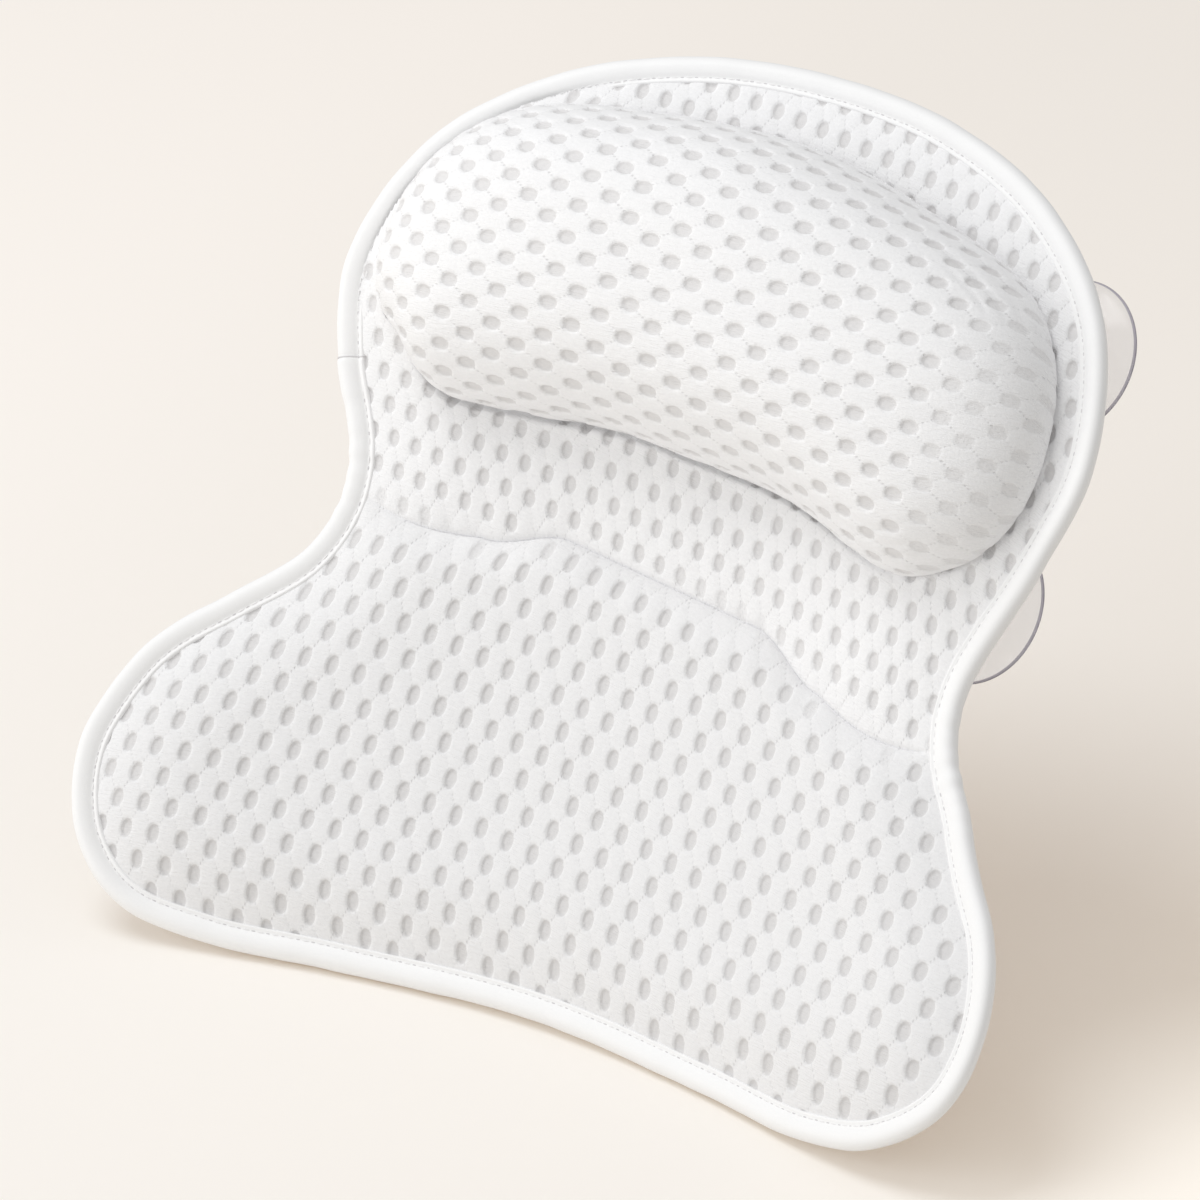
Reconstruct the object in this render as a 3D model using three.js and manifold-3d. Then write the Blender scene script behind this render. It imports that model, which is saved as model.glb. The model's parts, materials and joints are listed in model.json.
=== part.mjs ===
// Bath pillow: two padded air-mesh sections that fold at a sewn waist seam, a kidney-shaped head
// bolster, a bound edge, and six suction cups that turn in eyelets in the back.
// Millimetres and degrees. +Z is up, -Y is the front, and the pillow leans back as on a bath wall.
// Panel coordinates: x to the right, v up along the panel, w out of its front.

import * as THREE from 'three';
import { mergeVertices } from 'three/addons/utils/BufferGeometryUtils.js';
import Module from 'manifold-3d';

const wasm = await Module();
wasm.setup();

// Driving dimensions of the outline, measured from the middle of the waist
const lean = 36;
const head_half_width = 155.7;
const head_height = 201.2;
const waist_half_width = 133.5;
const shoulder_half_width = 190;
const shoulder_height = 164.3;
const bow = 38;

// Half outline, from the top down the right side. Across: shares of the half width of its zone.
// Up: shares of the head's or the shoulders' height.
const head_outline_shares = [
  [0, 1], [0.337, 0.972], [0.652, 0.874], [0.898, 0.695], [1, 0.447], [0.952, 0.253],
];
const waist_outline_shares = [[1, 0.012]];
const shoulder_outline_shares = [
  [0.723, -0.11], [0.821, -0.254], [0.952, -0.456], [1, -0.668], [0.956, -0.848],
  [0.835, -0.966], [0.664, -1], [0.42, -0.973], [0, -0.937],
];

// Waist seam: a low arch in the middle with a shallow dip on each side of it
const seam_middle = -6.5;
const seam_tilt = 4.5;
const seam_arch = 16;
const seam_arch_flat = 30;
const seam_arch_reach = 88;
const seam_dip = 3;
const seam_dip_reach = 46;
const seam_gap = 0.6;
const seam_land = 1.5;
const seam_roll = 18;

// Sheets, padding and bound edge
const clearance = 0.3;
const sheet_thickness = 2.85;
const sheet_parting = 0.15;
const head_crown = 6.5;
const shoulder_crown = 10;
const back_crown = 4;
const edge_roll = 34;
const back_roll = 12;
const binding_radius = 4.5;
const binding_width = 10;
const tape_thickness = 1.2;
const sheet_inset = 4;
const slot_clearance = 2;
const land_margin = 2;
const padding_step = 3.5;
const roll_step = 9.5;

// Head bolster
const bolster_middle = 111.5;
const bolster_half_length = 139.5;
const bolster_half_width = 61.5;
const bolster_height = 53.5;
const bolster_lift = 8;
const bolster_tuck = 4.5;
const bolster_tilt = 4.5;
const cover_thickness = 3;

// Half outline of the bolster, from the middle of its top down the right side. Across: shares of
// its half length. Up: shares of its half width.
const bolster_outline_shares = [
  [0, 1], [0.23, 0.957], [0.44, 0.87], [0.605, 0.79], [0.72, 0.7], [0.81, 0.585], [0.89, 0.41],
  [0.95, 0.195], [0.985, -0.05], [1, -0.29], [0.985, -0.585], [0.92, -0.862], [0.84, -1.008],
  [0.76, -1.098], [0.68, -1.122], [0.56, -1.073], [0.44, -1], [0.29, -0.943], [0, -0.935],
];

// Spine of the bolster: its half length, and its height in the middle and at its ends.
// Its domed rings lie at these shares of the way from the spine to the outline.
const spine_length_share = 0.56;
const spine_rise_shares = [0.03, -0.13];
const bolster_ring_shares = [0.985, 0.94, 0.86, 0.72, 0.5, 0.25];
const bolster_fullness = 2.6;

// Suction cups and their eyelets
const cup_radius = 29;
const cup_rim_width = 2.5;
const cup_lip = 0.9;
const cup_hollow = 9;
const cup_dome = 13;
const cup_reach = 25;
const boss_radius = 7;
const neck_radius = 4.2;
const neck_clearance = 0.35;
const knob_radius = 6.5;
const knob_height = 4;
const eyelet_radius = 10;
const eyelet_barrel = 6;
const eyelet_flange = 1.2;
const pocket_margin = 1.5;

// Places of the cups, as shares of the half width and height of the head and of the shoulders
const upper_cup_shares = [0.687, 0.641];
const middle_cup_shares = [0.6615, 0.174];
const lower_cup_shares = [0.621, -0.609];

// Cup profile. Hollow: shares of its radius and depth. Dome: shares of the cup's radius and height.
// Boss and knob: shares of the boss radius and dome height, and of the knob's radius and height.
const hollow_shares = [[0, 1], [0.35, 0.86], [0.65, 0.54], [0.86, 0.22]];
const dome_shares = [[1, 0], [0.86, 0.3], [0.62, 0.68]];
const boss_shares = [[1.25, 0.93], [1, 1]];
const knob_shares = [[1, 0], [1, 0.35], [0.6, 0.85], [0, 1]];

// Line that each section's rings close in on: its half length and height as shares of the
// section's half width and height, how far the rings spread along it, and where the rings lie
const head_spine = { half_share: 0.48, rise_share: 0.5, spread_share: 0.55 };
const shoulder_spine = { half_share: 0.62, rise_share: -0.58, spread_share: 0.7 };
const inner_ring_shares = [0.45, 0.88];

// Mesh densities
const outline_samples = 720;
const edge_stations = 31;
const binding_stations = 2 * edge_stations - 1;
const seam_stations = 13;
const bolster_samples = 240;
const bolster_stations = 38;
const cup_steps = 20;
const eyelet_steps = 16;
const arc_steps = 7;
const depth_halvings = 24;
const overrun = 20;

const turn = THREE.MathUtils.degToRad;

// The panel bows forward towards both sides
const bow_at = (x) => bow * (x / shoulder_half_width) ** 2;
const bow_slope = (x) => 2 * bow * x / shoulder_half_width ** 2;

// Panel coordinates to the pillow group's own axes
const place = (x, v, w) => new THREE.Vector3(x, -(w + bow_at(x)), v);

// Materials
const mesh_fabric = new THREE.MeshStandardMaterial({ color: 0xf4f3f1, roughness: 0.95, metalness: 0 });
const binding_fabric = new THREE.MeshStandardMaterial({ color: 0xfafafa, roughness: 0.8, metalness: 0 });
const fill_fabric = new THREE.MeshStandardMaterial({ color: 0xe9e6e0, roughness: 1, metalness: 0 });
const clear_vinyl = new THREE.MeshStandardMaterial({
  color: 0xe6e6ea, roughness: 0.15, metalness: 0, transparent: true, opacity: 0.45,
});
const white_plastic = new THREE.MeshStandardMaterial({ color: 0xf2f2f2, roughness: 0.4, metalness: 0 });

const pillow = new THREE.Group();

function add_piece(name, geometry, material, parent = pillow) {
  const mesh = new THREE.Mesh(geometry, material);
  mesh.name = name;
  parent.add(mesh);
  return mesh;
}

// Closed geometry from points and triangles, with shared corners merged
function closed_geometry(points, triangles) {
  const geometry = new THREE.BufferGeometry();
  geometry.setAttribute('position', new THREE.Float32BufferAttribute(points.flatMap((p) => p.toArray()), 3));
  geometry.setIndex(triangles.flat());
  return geometry;
}

function bare(geometry) {
  const copy = geometry.clone();
  copy.deleteAttribute('normal');
  copy.deleteAttribute('uv');
  const merged = mergeVertices(copy);
  const index = merged.index.array;
  const kept = [];
  for (let i = 0; i < index.length; i += 3) {
    const [a, b, c] = [index[i], index[i + 1], index[i + 2]];
    if (a !== b && b !== c && c !== a) kept.push(a, b, c);
  }
  merged.setIndex(kept);
  return merged;
}

function to_solid(geometry) {
  const merged = bare(geometry);
  return new wasm.Manifold(new wasm.Mesh({
    numProp: 3,
    vertProperties: Float32Array.from(merged.attributes.position.array),
    triVerts: Uint32Array.from(merged.index.array),
  }));
}

function to_geometry(solid) {
  const mesh = solid.getMesh();
  const geometry = new THREE.BufferGeometry();
  const position = new Float32Array(mesh.numVert * 3);
  for (let i = 0; i < mesh.numVert; i += 1) {
    for (let k = 0; k < 3; k += 1) position[3 * i + k] = mesh.vertProperties[i * mesh.numProp + k];
  }
  geometry.setAttribute('position', new THREE.BufferAttribute(position, 3));
  geometry.setIndex(Array.from(mesh.triVerts));
  return geometry;
}

// Waist seam: its height at x, with the tilt of the sewn line
const seam_slope = Math.tan(turn(seam_tilt));
function seam_height(x) {
  const away = Math.abs(x);
  const arch = seam_arch * (1 - THREE.MathUtils.smoothstep(away, seam_arch_flat, seam_arch_reach));
  const share = THREE.MathUtils.clamp((away - seam_arch_reach) / seam_dip_reach, 0, 1);
  return seam_middle - seam_slope * x + arch - seam_dip * Math.sin(Math.PI * share);
}

// Closed outline of the bound edge, counter-clockwise seen from the front
function outline_curve() {
  const zone = (shares, half, height) => shares.map(([a, b]) => new THREE.Vector2(a * half, b * height));
  const right = [
    ...zone(head_outline_shares, head_half_width, head_height),
    ...zone(waist_outline_shares, waist_half_width, head_height),
    ...zone(shoulder_outline_shares, shoulder_half_width, shoulder_height),
  ];
  const left = right.slice(1, -1).reverse().map((p) => new THREE.Vector2(-p.x, p.y));
  const loop = [...right, ...left].reverse();
  const curve = new THREE.CatmullRomCurve3(
    loop.map((p) => new THREE.Vector3(p.x, p.y, 0)), true, 'centripetal',
  );
  return curve.getSpacedPoints(outline_samples).slice(0, -1).map((p) => new THREE.Vector2(p.x, p.y));
}

// The stretch of the outline on one side of the seam, as evenly spaced stations.
// Each has its point, the direction along the edge and the direction inwards.
function edge_of(above, stations) {
  const loop = outline_curve();
  const half_gap = seam_gap / 2;
  const past = (p) => (above ? p.y - seam_height(p.x) : seam_height(p.x) - p.y) - half_gap;
  const count = loop.length;
  const first = loop.findIndex((p, i) => past(p) > 0 && past(loop[(i + count - 1) % count]) <= 0);
  const run = [];
  for (let i = first; past(loop[i % count]) > 0; i += 1) run.push(loop[i % count]);
  const cut = (inside, outside) => {
    const share = past(inside) / (past(inside) - past(outside));
    return inside.clone().lerp(outside, share);
  };
  run.unshift(cut(run[0], loop[(first + count - 1) % count]));
  run.push(cut(run[run.length - 1], loop[(first + run.length - 1) % count]));
  const lengths = [0];
  for (let i = 1; i < run.length; i += 1) lengths.push(lengths[i - 1] + run[i].distanceTo(run[i - 1]));
  const at = (s) => {
    let i = 1;
    while (i < run.length - 1 && lengths[i] < s) i += 1;
    return run[i - 1].clone().lerp(run[i], (s - lengths[i - 1]) / (lengths[i] - lengths[i - 1]));
  };
  const whole = lengths[lengths.length - 1];
  const step = whole / (stations - 1);
  const points = Array.from({ length: stations }, (_, i) => at(Math.min(i * step, whole)));
  return points.map((point, i) => {
    const before = points[Math.max(i - 1, 0)];
    const after = points[Math.min(i + 1, stations - 1)];
    const along = after.clone().sub(before).normalize();
    return { point, along, inwards: new THREE.Vector2(-along.y, along.x) };
  });
}

// Border of a section's sheets: the inset edge, then back along the seam
function border_of(edge, above) {
  const ring = edge.map((s) => ({ p: s.point.clone().addScaledVector(s.inwards, sheet_inset), sewn: false }));
  const start = ring[ring.length - 1].p;
  const end = ring[0].p;
  const side = above ? seam_gap / 2 : -seam_gap / 2;
  for (let i = 1; i <= seam_stations; i += 1) {
    const x = THREE.MathUtils.lerp(start.x, end.x, i / (seam_stations + 1));
    ring.push({ p: new THREE.Vector2(x, seam_height(x) + side), sewn: true });
  }
  return ring;
}

// Triangles that fill an x-monotone ring, joining its lower and upper chains step by step
function zip_ring(points, ids) {
  const count = points.length;
  const by_x = points.map((p, i) => [p.x, i]).sort((a, b) => a[0] - b[0]);
  const left = by_x[0][1];
  const right = by_x[count - 1][1];
  const lower = [];
  for (let i = left; i !== right; i = (i + 1) % count) lower.push(i);
  lower.push(right);
  const upper = [];
  for (let i = left; i !== right; i = (i + count - 1) % count) upper.push(i);
  upper.push(right);
  const triangles = [];
  let a = 0;
  let b = 0;
  while (a < lower.length - 1 || b < upper.length - 1) {
    const next_lower = a < lower.length - 1 ? points[lower[a + 1]].x : Infinity;
    const next_upper = b < upper.length - 1 ? points[upper[b + 1]].x : Infinity;
    if (next_lower <= next_upper) {
      triangles.push([ids[lower[a]], ids[lower[a + 1]], ids[upper[b]]]);
      a += 1;
    } else {
      triangles.push([ids[lower[a]], ids[upper[b + 1]], ids[upper[b]]]);
      b += 1;
    }
  }
  return triangles.filter(([p, q, r]) => p !== q && q !== r && r !== p);
}

// Closed solid between two surfaces over the same rings of points, outermost ring first
function between(rings, top, bottom) {
  const count = rings[0].length;
  const flat = rings.flat();
  const offset = flat.length;
  const points = [
    ...flat.map((p, i) => place(p.x, p.y, top(p, Math.floor(i / count), i % count))),
    ...flat.map((p, i) => place(p.x, p.y, bottom(p, Math.floor(i / count), i % count))),
  ];
  const cap = [];
  for (let k = 0; k + 1 < rings.length; k += 1) {
    for (let i = 0; i < count; i += 1) {
      const j = (i + 1) % count;
      const [a, b, c, d] = [k * count + i, k * count + j, (k + 1) * count + j, (k + 1) * count + i];
      cap.push([a, b, c], [a, c, d]);
    }
  }
  const last = (rings.length - 1) * count;
  cap.push(...zip_ring(rings[rings.length - 1], rings[0].map((_, i) => last + i)));
  const walls = [];
  for (let i = 0; i < count; i += 1) {
    const j = (i + 1) % count;
    walls.push([i, offset + i, offset + j], [i, offset + j, j]);
  }
  const under = cap.map(([a, b, c]) => [offset + a, offset + c, offset + b]);
  return closed_geometry(points, [...cap, ...under, ...walls]);
}

function distance_to(points, p) {
  let best = Infinity;
  for (let i = 0; i + 1 < points.length; i += 1) {
    const a = points[i];
    const b = points[i + 1];
    const ab = b.clone().sub(a);
    const share = THREE.MathUtils.clamp(p.clone().sub(a).dot(ab) / ab.lengthSq(), 0, 1);
    best = Math.min(best, p.distanceTo(a.clone().addScaledVector(ab, share)));
  }
  return best;
}

// Rises like a quarter of an ellipse from 0 at the start of the roll to 1 at its end
function swell(distance, roll) {
  const share = THREE.MathUtils.clamp(distance / roll, 0, 1);
  return Math.sqrt(1 - (1 - share) ** 2);
}

// The point on the way from p to a target that first lies a given depth inside a border line
function point_at_depth(p, target, line, depth) {
  let near = 0;
  let far = 1;
  for (let i = 0; i < depth_halvings; i += 1) {
    const middle = (near + far) / 2;
    if (distance_to(line, p.clone().lerp(target, middle)) < depth) near = middle;
    else far = middle;
  }
  return p.clone().lerp(target, far);
}

const edge_land = binding_width + clearance - sheet_inset;

// One section: rings of points from its border to its spine, and the heights of its surfaces
function make_section(above, spine, half_width, height, crown) {
  const edge = edge_of(above, edge_stations);
  const border = border_of(edge, above);
  const outer = border.filter((b) => !b.sewn).map((b) => b.p);
  const sewn = [outer[outer.length - 1], ...border.filter((b) => b.sewn).map((b) => b.p), outer[0]];
  const spine_half = half_width * spine.half_share;
  const to_spine = (p) => new THREE.Vector2(
    THREE.MathUtils.clamp(p.x * spine.spread_share, -spine_half, spine_half), height * spine.rise_share,
  );
  const steps = [0, padding_step, roll_step];
  const rings = [border.map(({ p }) => p)];
  for (const step of steps) {
    rings.push(border.map(({ p, sewn: on_seam }) => (on_seam
      ? point_at_depth(p, to_spine(p), sewn, seam_land + step)
      : point_at_depth(p, to_spine(p), outer, edge_land + land_margin + step))));
  }
  const shallow = rings.slice(0, -1);
  for (const share of inner_ring_shares) {
    const ring = border.map(({ p }) => p.clone().lerp(to_spine(p), share));
    rings.push(ring);
    shallow.push(ring);
  }
  const rise = (p, roll) => Math.min(
    swell(distance_to(outer, p) - edge_land - land_margin, roll),
    swell(distance_to(sewn, p) - seam_land, Math.min(roll, seam_roll)),
  );
  const edge_height = sheet_thickness + sheet_parting;
  return {
    rings,
    shallow,
    front: (p) => edge_height + crown * rise(p, edge_roll),
    back: (p) => -edge_height - back_crown * rise(p, back_roll),
  };
}

// Bound edge: a folded tape, rounded outside and slotted inside for the two sheets
function binding_section() {
  const slot_top = sheet_thickness + sheet_parting + clearance;
  const section = [];
  for (let i = 0; i <= arc_steps; i += 1) {
    const angle = Math.PI / 2 + (Math.PI * i) / arc_steps;
    section.push([binding_radius + binding_radius * Math.cos(angle), binding_radius * Math.sin(angle)]);
  }
  const slot_floor = sheet_inset - slot_clearance;
  section.push(
    [binding_width, -slot_top - tape_thickness], [binding_width, -slot_top],
    [slot_floor, -slot_top], [slot_floor, slot_top],
    [binding_width, slot_top], [binding_width, slot_top + tape_thickness],
  );
  return section;
}

function make_binding(edge) {
  const section = binding_section();
  const count = section.length;
  const points = edge.flatMap(({ point, inwards }) => section.map(([inset, w]) => {
    const p = point.clone().addScaledVector(inwards, inset);
    return place(p.x, p.y, w);
  }));
  const triangles = [];
  for (let i = 0; i + 1 < edge.length; i += 1) {
    for (let k = 0; k < count; k += 1) {
      const next = (k + 1) % count;
      const [a, b, c, d] = [i * count + k, i * count + next, (i + 1) * count + next, (i + 1) * count + k];
      triangles.push([a, b, c], [a, c, d]);
    }
  }
  const last = (edge.length - 1) * count;
  const faces = THREE.ShapeUtils.triangulateShape(section.map(([a, b]) => new THREE.Vector2(a, b)), []);
  for (const [a, b, c] of faces) triangles.push([a, c, b], [last + a, last + b, last + c]);
  return closed_geometry(points, triangles);
}

// Where a cup sits: a turned group on the back, its +Y into the pillow along the local normal
function seat_at(section, x, v) {
  const seat = new THREE.Group();
  seat.position.copy(place(x, v, section.back(new THREE.Vector2(x, v))));
  seat.rotation.z = turn(180) - Math.atan(bow_slope(x));
  seat.updateMatrix();
  return seat;
}

const lathe = (profile, steps) => (
  new THREE.LatheGeometry(profile.map(([r, y]) => new THREE.Vector2(r, y)), steps));

// Flexible cup, with its knob, neck and boss. y is 0 at the sheet's back face.
function cup_geometry() {
  const face = -cup_reach;
  const stop = -eyelet_flange - 2 * clearance;
  const knob = sheet_thickness + eyelet_flange + 2 * clearance;
  const hollow_edge = cup_radius - cup_rim_width;
  const rim = face + cup_lip;
  return lathe([
    ...hollow_shares.map(([r, y]) => [hollow_edge * r, face + cup_hollow * y]),
    [hollow_edge, face],
    [cup_radius, face],
    ...dome_shares.map(([r, y]) => [cup_radius * r, rim + cup_dome * y]),
    ...boss_shares.map(([r, y]) => [boss_radius * r, rim + cup_dome * y]),
    [boss_radius, stop],
    [neck_radius, stop],
    [neck_radius, knob],
    ...knob_shares.map(([r, y]) => [knob_radius * r, knob + knob_height * y]),
  ], cup_steps);
}

// Spool-shaped ring whose flanges hold the back sheet between them
function eyelet_geometry() {
  const bore = neck_radius + neck_clearance;
  const low = -clearance - eyelet_flange;
  const high = sheet_thickness + clearance + eyelet_flange;
  return lathe([
    [bore, low], [eyelet_radius, low], [eyelet_radius, low + eyelet_flange],
    [eyelet_barrel, low + eyelet_flange], [eyelet_barrel, high - eyelet_flange],
    [eyelet_radius, high - eyelet_flange], [eyelet_radius, high], [bore, high], [bore, low],
  ], eyelet_steps);
}

// A turned cutter at a seat, as a solid
function cutter(seat, profile) {
  const shape = lathe(profile, eyelet_steps);
  shape.applyMatrix4(seat.matrix);
  return to_solid(shape);
}

// What the back sheet gives way to: the eyelet's barrel, and its two flanges with their clearance
function sheet_cutter(seat) {
  const hole = eyelet_barrel + clearance;
  const rim = eyelet_radius + clearance;
  const low = -clearance / 2;
  const high = sheet_thickness + clearance / 2;
  return cutter(seat, [
    [0, -overrun], [rim, -overrun], [rim, low], [hole, low],
    [hole, high], [rim, high], [rim, overrun], [0, overrun],
  ]);
}

// Pocket in the padding for the eyelet and the cup's knob
function pocket_cutter(seat) {
  const depth = sheet_thickness + eyelet_flange + 2 * clearance + knob_height + pocket_margin;
  const radius = eyelet_radius + pocket_margin;
  return cutter(seat, [[0, -overrun], [radius, -overrun], [radius, depth], [0, depth]]);
}

const cut_all = (geometry, seats, cutter_at) => to_geometry(
  seats.reduce((solid, seat) => solid.subtract(cutter_at(seat)), to_solid(geometry)),
);

// From the bolster's own length and width to panel coordinates
function bolster_point(p) {
  const angle = turn(-bolster_tilt);
  return new THREE.Vector2(
    p.x * Math.cos(angle) - p.y * Math.sin(angle),
    bolster_middle + p.x * Math.sin(angle) + p.y * Math.cos(angle),
  );
}

// Kidney-shaped outline of the bolster round its own middle, counter-clockwise
function bolster_loop(samples) {
  const right = bolster_outline_shares.map(([a, b]) => (
    new THREE.Vector3(a * bolster_half_length, b * bolster_half_width, 0)));
  const left = right.slice(1, -1).reverse().map((p) => new THREE.Vector3(-p.x, p.y, 0));
  const curve = new THREE.CatmullRomCurve3([...right, ...left].reverse(), true, 'centripetal');
  return curve.getSpacedPoints(samples).slice(0, -1).map((p) => new THREE.Vector2(p.x, p.y));
}

// Where the line across the bolster at x meets its outline, below and above
function chord_at(loop, x) {
  const crossings = loop.map((p, i) => [p, loop[(i + 1) % loop.length]])
    .filter(([a, b]) => (a.x - x) * (b.x - x) <= 0 && a.x !== b.x)
    .map(([a, b]) => THREE.MathUtils.lerp(a.y, b.y, (x - a.x) / (b.x - a.x)));
  return [Math.min(...crossings), Math.max(...crossings)];
}

// Dome of the bolster: 1 at its crest, falling like an ellipse to both ends and across its width
function bolster_rise(loop, p) {
  const [low, high] = chord_at(loop, p.x);
  const across = Math.min(Math.abs(2 * p.y - low - high) / (high - low), 1);
  const along = p.x / bolster_half_length;
  return Math.sqrt((1 - across ** bolster_fullness) * (1 - along ** 2));
}

// The flank is tucked in below the outline, which stands at the lift, and the dome rises over it
function bolster_dome(section, inset) {
  const fine = bolster_loop(bolster_samples);
  const rims = bolster_loop(bolster_stations);
  const spine_half = bolster_half_length * spine_length_share;
  const [middle_rise, end_rise] = spine_rise_shares;
  const to_spine = (p) => {
    const x = THREE.MathUtils.clamp(p.x * spine_length_share, -spine_half, spine_half);
    const share = (x / spine_half) ** 2;
    return new THREE.Vector2(x, bolster_half_width * THREE.MathUtils.lerp(middle_rise, end_rise, share));
  };
  const pulled = (rim, share, tuck) => {
    const spine = to_spine(rim);
    const length = rim.distanceTo(spine);
    return spine.lerp(rim, (share * length - tuck - inset) / length);
  };
  const flank = [[bolster_tuck, 0], [bolster_tuck, 0], [0, bolster_lift]];
  const rings = flank.map(([tuck, w]) => rims.map((rim) => ({ p: bolster_point(pulled(rim, 1, tuck)), w })));
  for (const share of bolster_ring_shares) {
    rings.push(rims.map((rim) => {
      const rise = bolster_rise(fine, to_spine(rim).lerp(rim, share));
      const w = bolster_lift + (bolster_height - bolster_lift - inset) * rise;
      return { p: bolster_point(pulled(rim, share, 0)), w };
    }));
  }
  const flat = rings.map((ring) => ring.map(({ p }) => p));
  return between_rings(flat, rings, section.front);
}

// The dome's rings stand at their own heights, so its underside is the first ring, zipped shut
function between_rings(flat, rings, base) {
  const count = rings[0].length;
  const lowest = Math.min(...flat[0].map((p) => base(p))) - overrun / 2;
  const points = rings.flatMap((ring, k) => ring.map(({ p, w }) => (
    place(p.x, p.y, k === 0 ? lowest : base(p) + w))));
  const triangles = [];
  for (let k = 0; k + 1 < rings.length; k += 1) {
    for (let i = 0; i < count; i += 1) {
      const j = (i + 1) % count;
      const [a, b, c, d] = [k * count + i, k * count + j, (k + 1) * count + j, (k + 1) * count + i];
      triangles.push([a, b, c], [a, c, d]);
    }
  }
  const last = (rings.length - 1) * count;
  triangles.push(...zip_ring(flat[rings.length - 1], flat[0].map((_, i) => last + i)));
  const under = zip_ring(flat[0], flat[0].map((_, i) => i));
  triangles.push(...under.map(([a, b, c]) => [a, c, b]));
  return closed_geometry(points, triangles);
}

function make_bolster(section) {
  const below = between(
    section.rings,
    (p) => section.front(p) + clearance,
    (p) => section.front(p) - overrun * 2,
  );
  const floor = to_solid(below);
  const cover = to_solid(bolster_dome(section, 0))
    .subtract(to_solid(bolster_dome(section, cover_thickness)))
    .subtract(floor);
  const fill = to_solid(bolster_dome(section, cover_thickness + clearance)).subtract(floor);
  return [to_geometry(cover), to_geometry(fill)];
}

// The sheets and padding of one section, with its cups
function build_section(prefix, above, spine, [half_width, height, crown], sites) {
  const section = make_section(above, spine, half_width, height, crown);
  const { rings, shallow, front, back } = section;
  const seats = [];
  for (const [name, [across, up]] of sites) {
    for (const [side, sign] of [['left', -1], ['right', 1]]) {
      const seat = seat_at(section, sign * across * half_width, up * height);
      seats.push(seat);
      pillow.add(seat);
      add_piece(`eyelet_${name}_${side}`, eyelet_geometry(), white_plastic, seat);
      add_piece(`suction_cup_${name}_${side}`, cup_geometry(), clear_vinyl, seat);
    }
  }
  const padding_whole = between(
    shallow.slice(2),
    (p) => front(p) - sheet_thickness - clearance,
    (p) => back(p) + sheet_thickness + clearance,
  );
  const sheet_whole = between(shallow, (p) => back(p) + sheet_thickness, back);
  const sheet = cut_all(sheet_whole, seats, sheet_cutter);
  const padding = cut_all(padding_whole, seats, pocket_cutter);
  add_piece(`${prefix}_front_mesh`, between(rings, front, (p) => front(p) - sheet_thickness), mesh_fabric);
  add_piece(`${prefix}_back_mesh`, sheet, mesh_fabric);
  add_piece(`${prefix}_padding`, padding, fill_fabric);
  add_piece(`${prefix}_binding`, make_binding(edge_of(above, binding_stations)), binding_fabric);
  return { section, seats };
}

const head = build_section(
  'head', true, head_spine, [head_half_width, head_height, head_crown],
  [['upper', upper_cup_shares], ['middle', middle_cup_shares]],
);
const shoulder = build_section(
  'shoulder', false, shoulder_spine, [shoulder_half_width, shoulder_height, shoulder_crown],
  [['lower', lower_cup_shares]],
);

const [cover, fill] = make_bolster(head.section);
add_piece('bolster_cover', cover, mesh_fabric);
add_piece('bolster_fill', fill, fill_fabric);

// The origin is on the bath wall, midway between the faces of the two lower cups
const face = new THREE.Vector3(0, -cup_reach, 0).applyMatrix4(shoulder.seats[1].matrix);
pillow.position.set(0, -face.y, -face.z);

const leaning = new THREE.Group();
leaning.rotation.x = -turn(lean);
leaning.add(pillow);

const part = new THREE.Group();
part.add(leaning);
part.updateMatrixWorld(true);

export default part;
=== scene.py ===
import json
import math

import bmesh
import bpy
import numpy as np
from mathutils import Matrix, Vector

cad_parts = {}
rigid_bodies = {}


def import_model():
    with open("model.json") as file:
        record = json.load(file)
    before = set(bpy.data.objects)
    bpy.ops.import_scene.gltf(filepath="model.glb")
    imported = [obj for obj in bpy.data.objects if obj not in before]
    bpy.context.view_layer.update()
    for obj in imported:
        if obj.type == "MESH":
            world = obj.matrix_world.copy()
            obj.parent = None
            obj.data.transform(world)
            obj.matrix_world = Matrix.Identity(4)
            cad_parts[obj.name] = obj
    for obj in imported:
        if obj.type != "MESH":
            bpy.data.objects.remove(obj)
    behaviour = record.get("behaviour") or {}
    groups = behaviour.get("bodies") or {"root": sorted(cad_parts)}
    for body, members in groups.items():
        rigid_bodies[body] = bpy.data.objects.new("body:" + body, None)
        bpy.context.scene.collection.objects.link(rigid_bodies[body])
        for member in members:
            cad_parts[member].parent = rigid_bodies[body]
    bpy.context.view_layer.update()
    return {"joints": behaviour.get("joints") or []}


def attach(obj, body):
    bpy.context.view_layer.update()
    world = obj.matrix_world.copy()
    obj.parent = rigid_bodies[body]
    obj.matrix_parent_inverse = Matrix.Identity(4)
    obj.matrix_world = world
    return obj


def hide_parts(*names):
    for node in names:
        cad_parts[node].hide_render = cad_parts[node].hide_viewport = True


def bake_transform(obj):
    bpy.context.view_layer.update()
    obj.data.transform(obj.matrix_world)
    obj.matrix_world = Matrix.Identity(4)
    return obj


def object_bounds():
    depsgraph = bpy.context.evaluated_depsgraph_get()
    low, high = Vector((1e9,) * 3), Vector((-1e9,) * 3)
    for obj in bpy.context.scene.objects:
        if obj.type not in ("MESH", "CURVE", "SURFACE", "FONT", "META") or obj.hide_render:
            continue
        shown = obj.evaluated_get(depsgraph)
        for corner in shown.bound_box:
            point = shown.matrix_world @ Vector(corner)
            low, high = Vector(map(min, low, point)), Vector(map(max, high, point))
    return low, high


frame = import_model()

MM = 0.001

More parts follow.
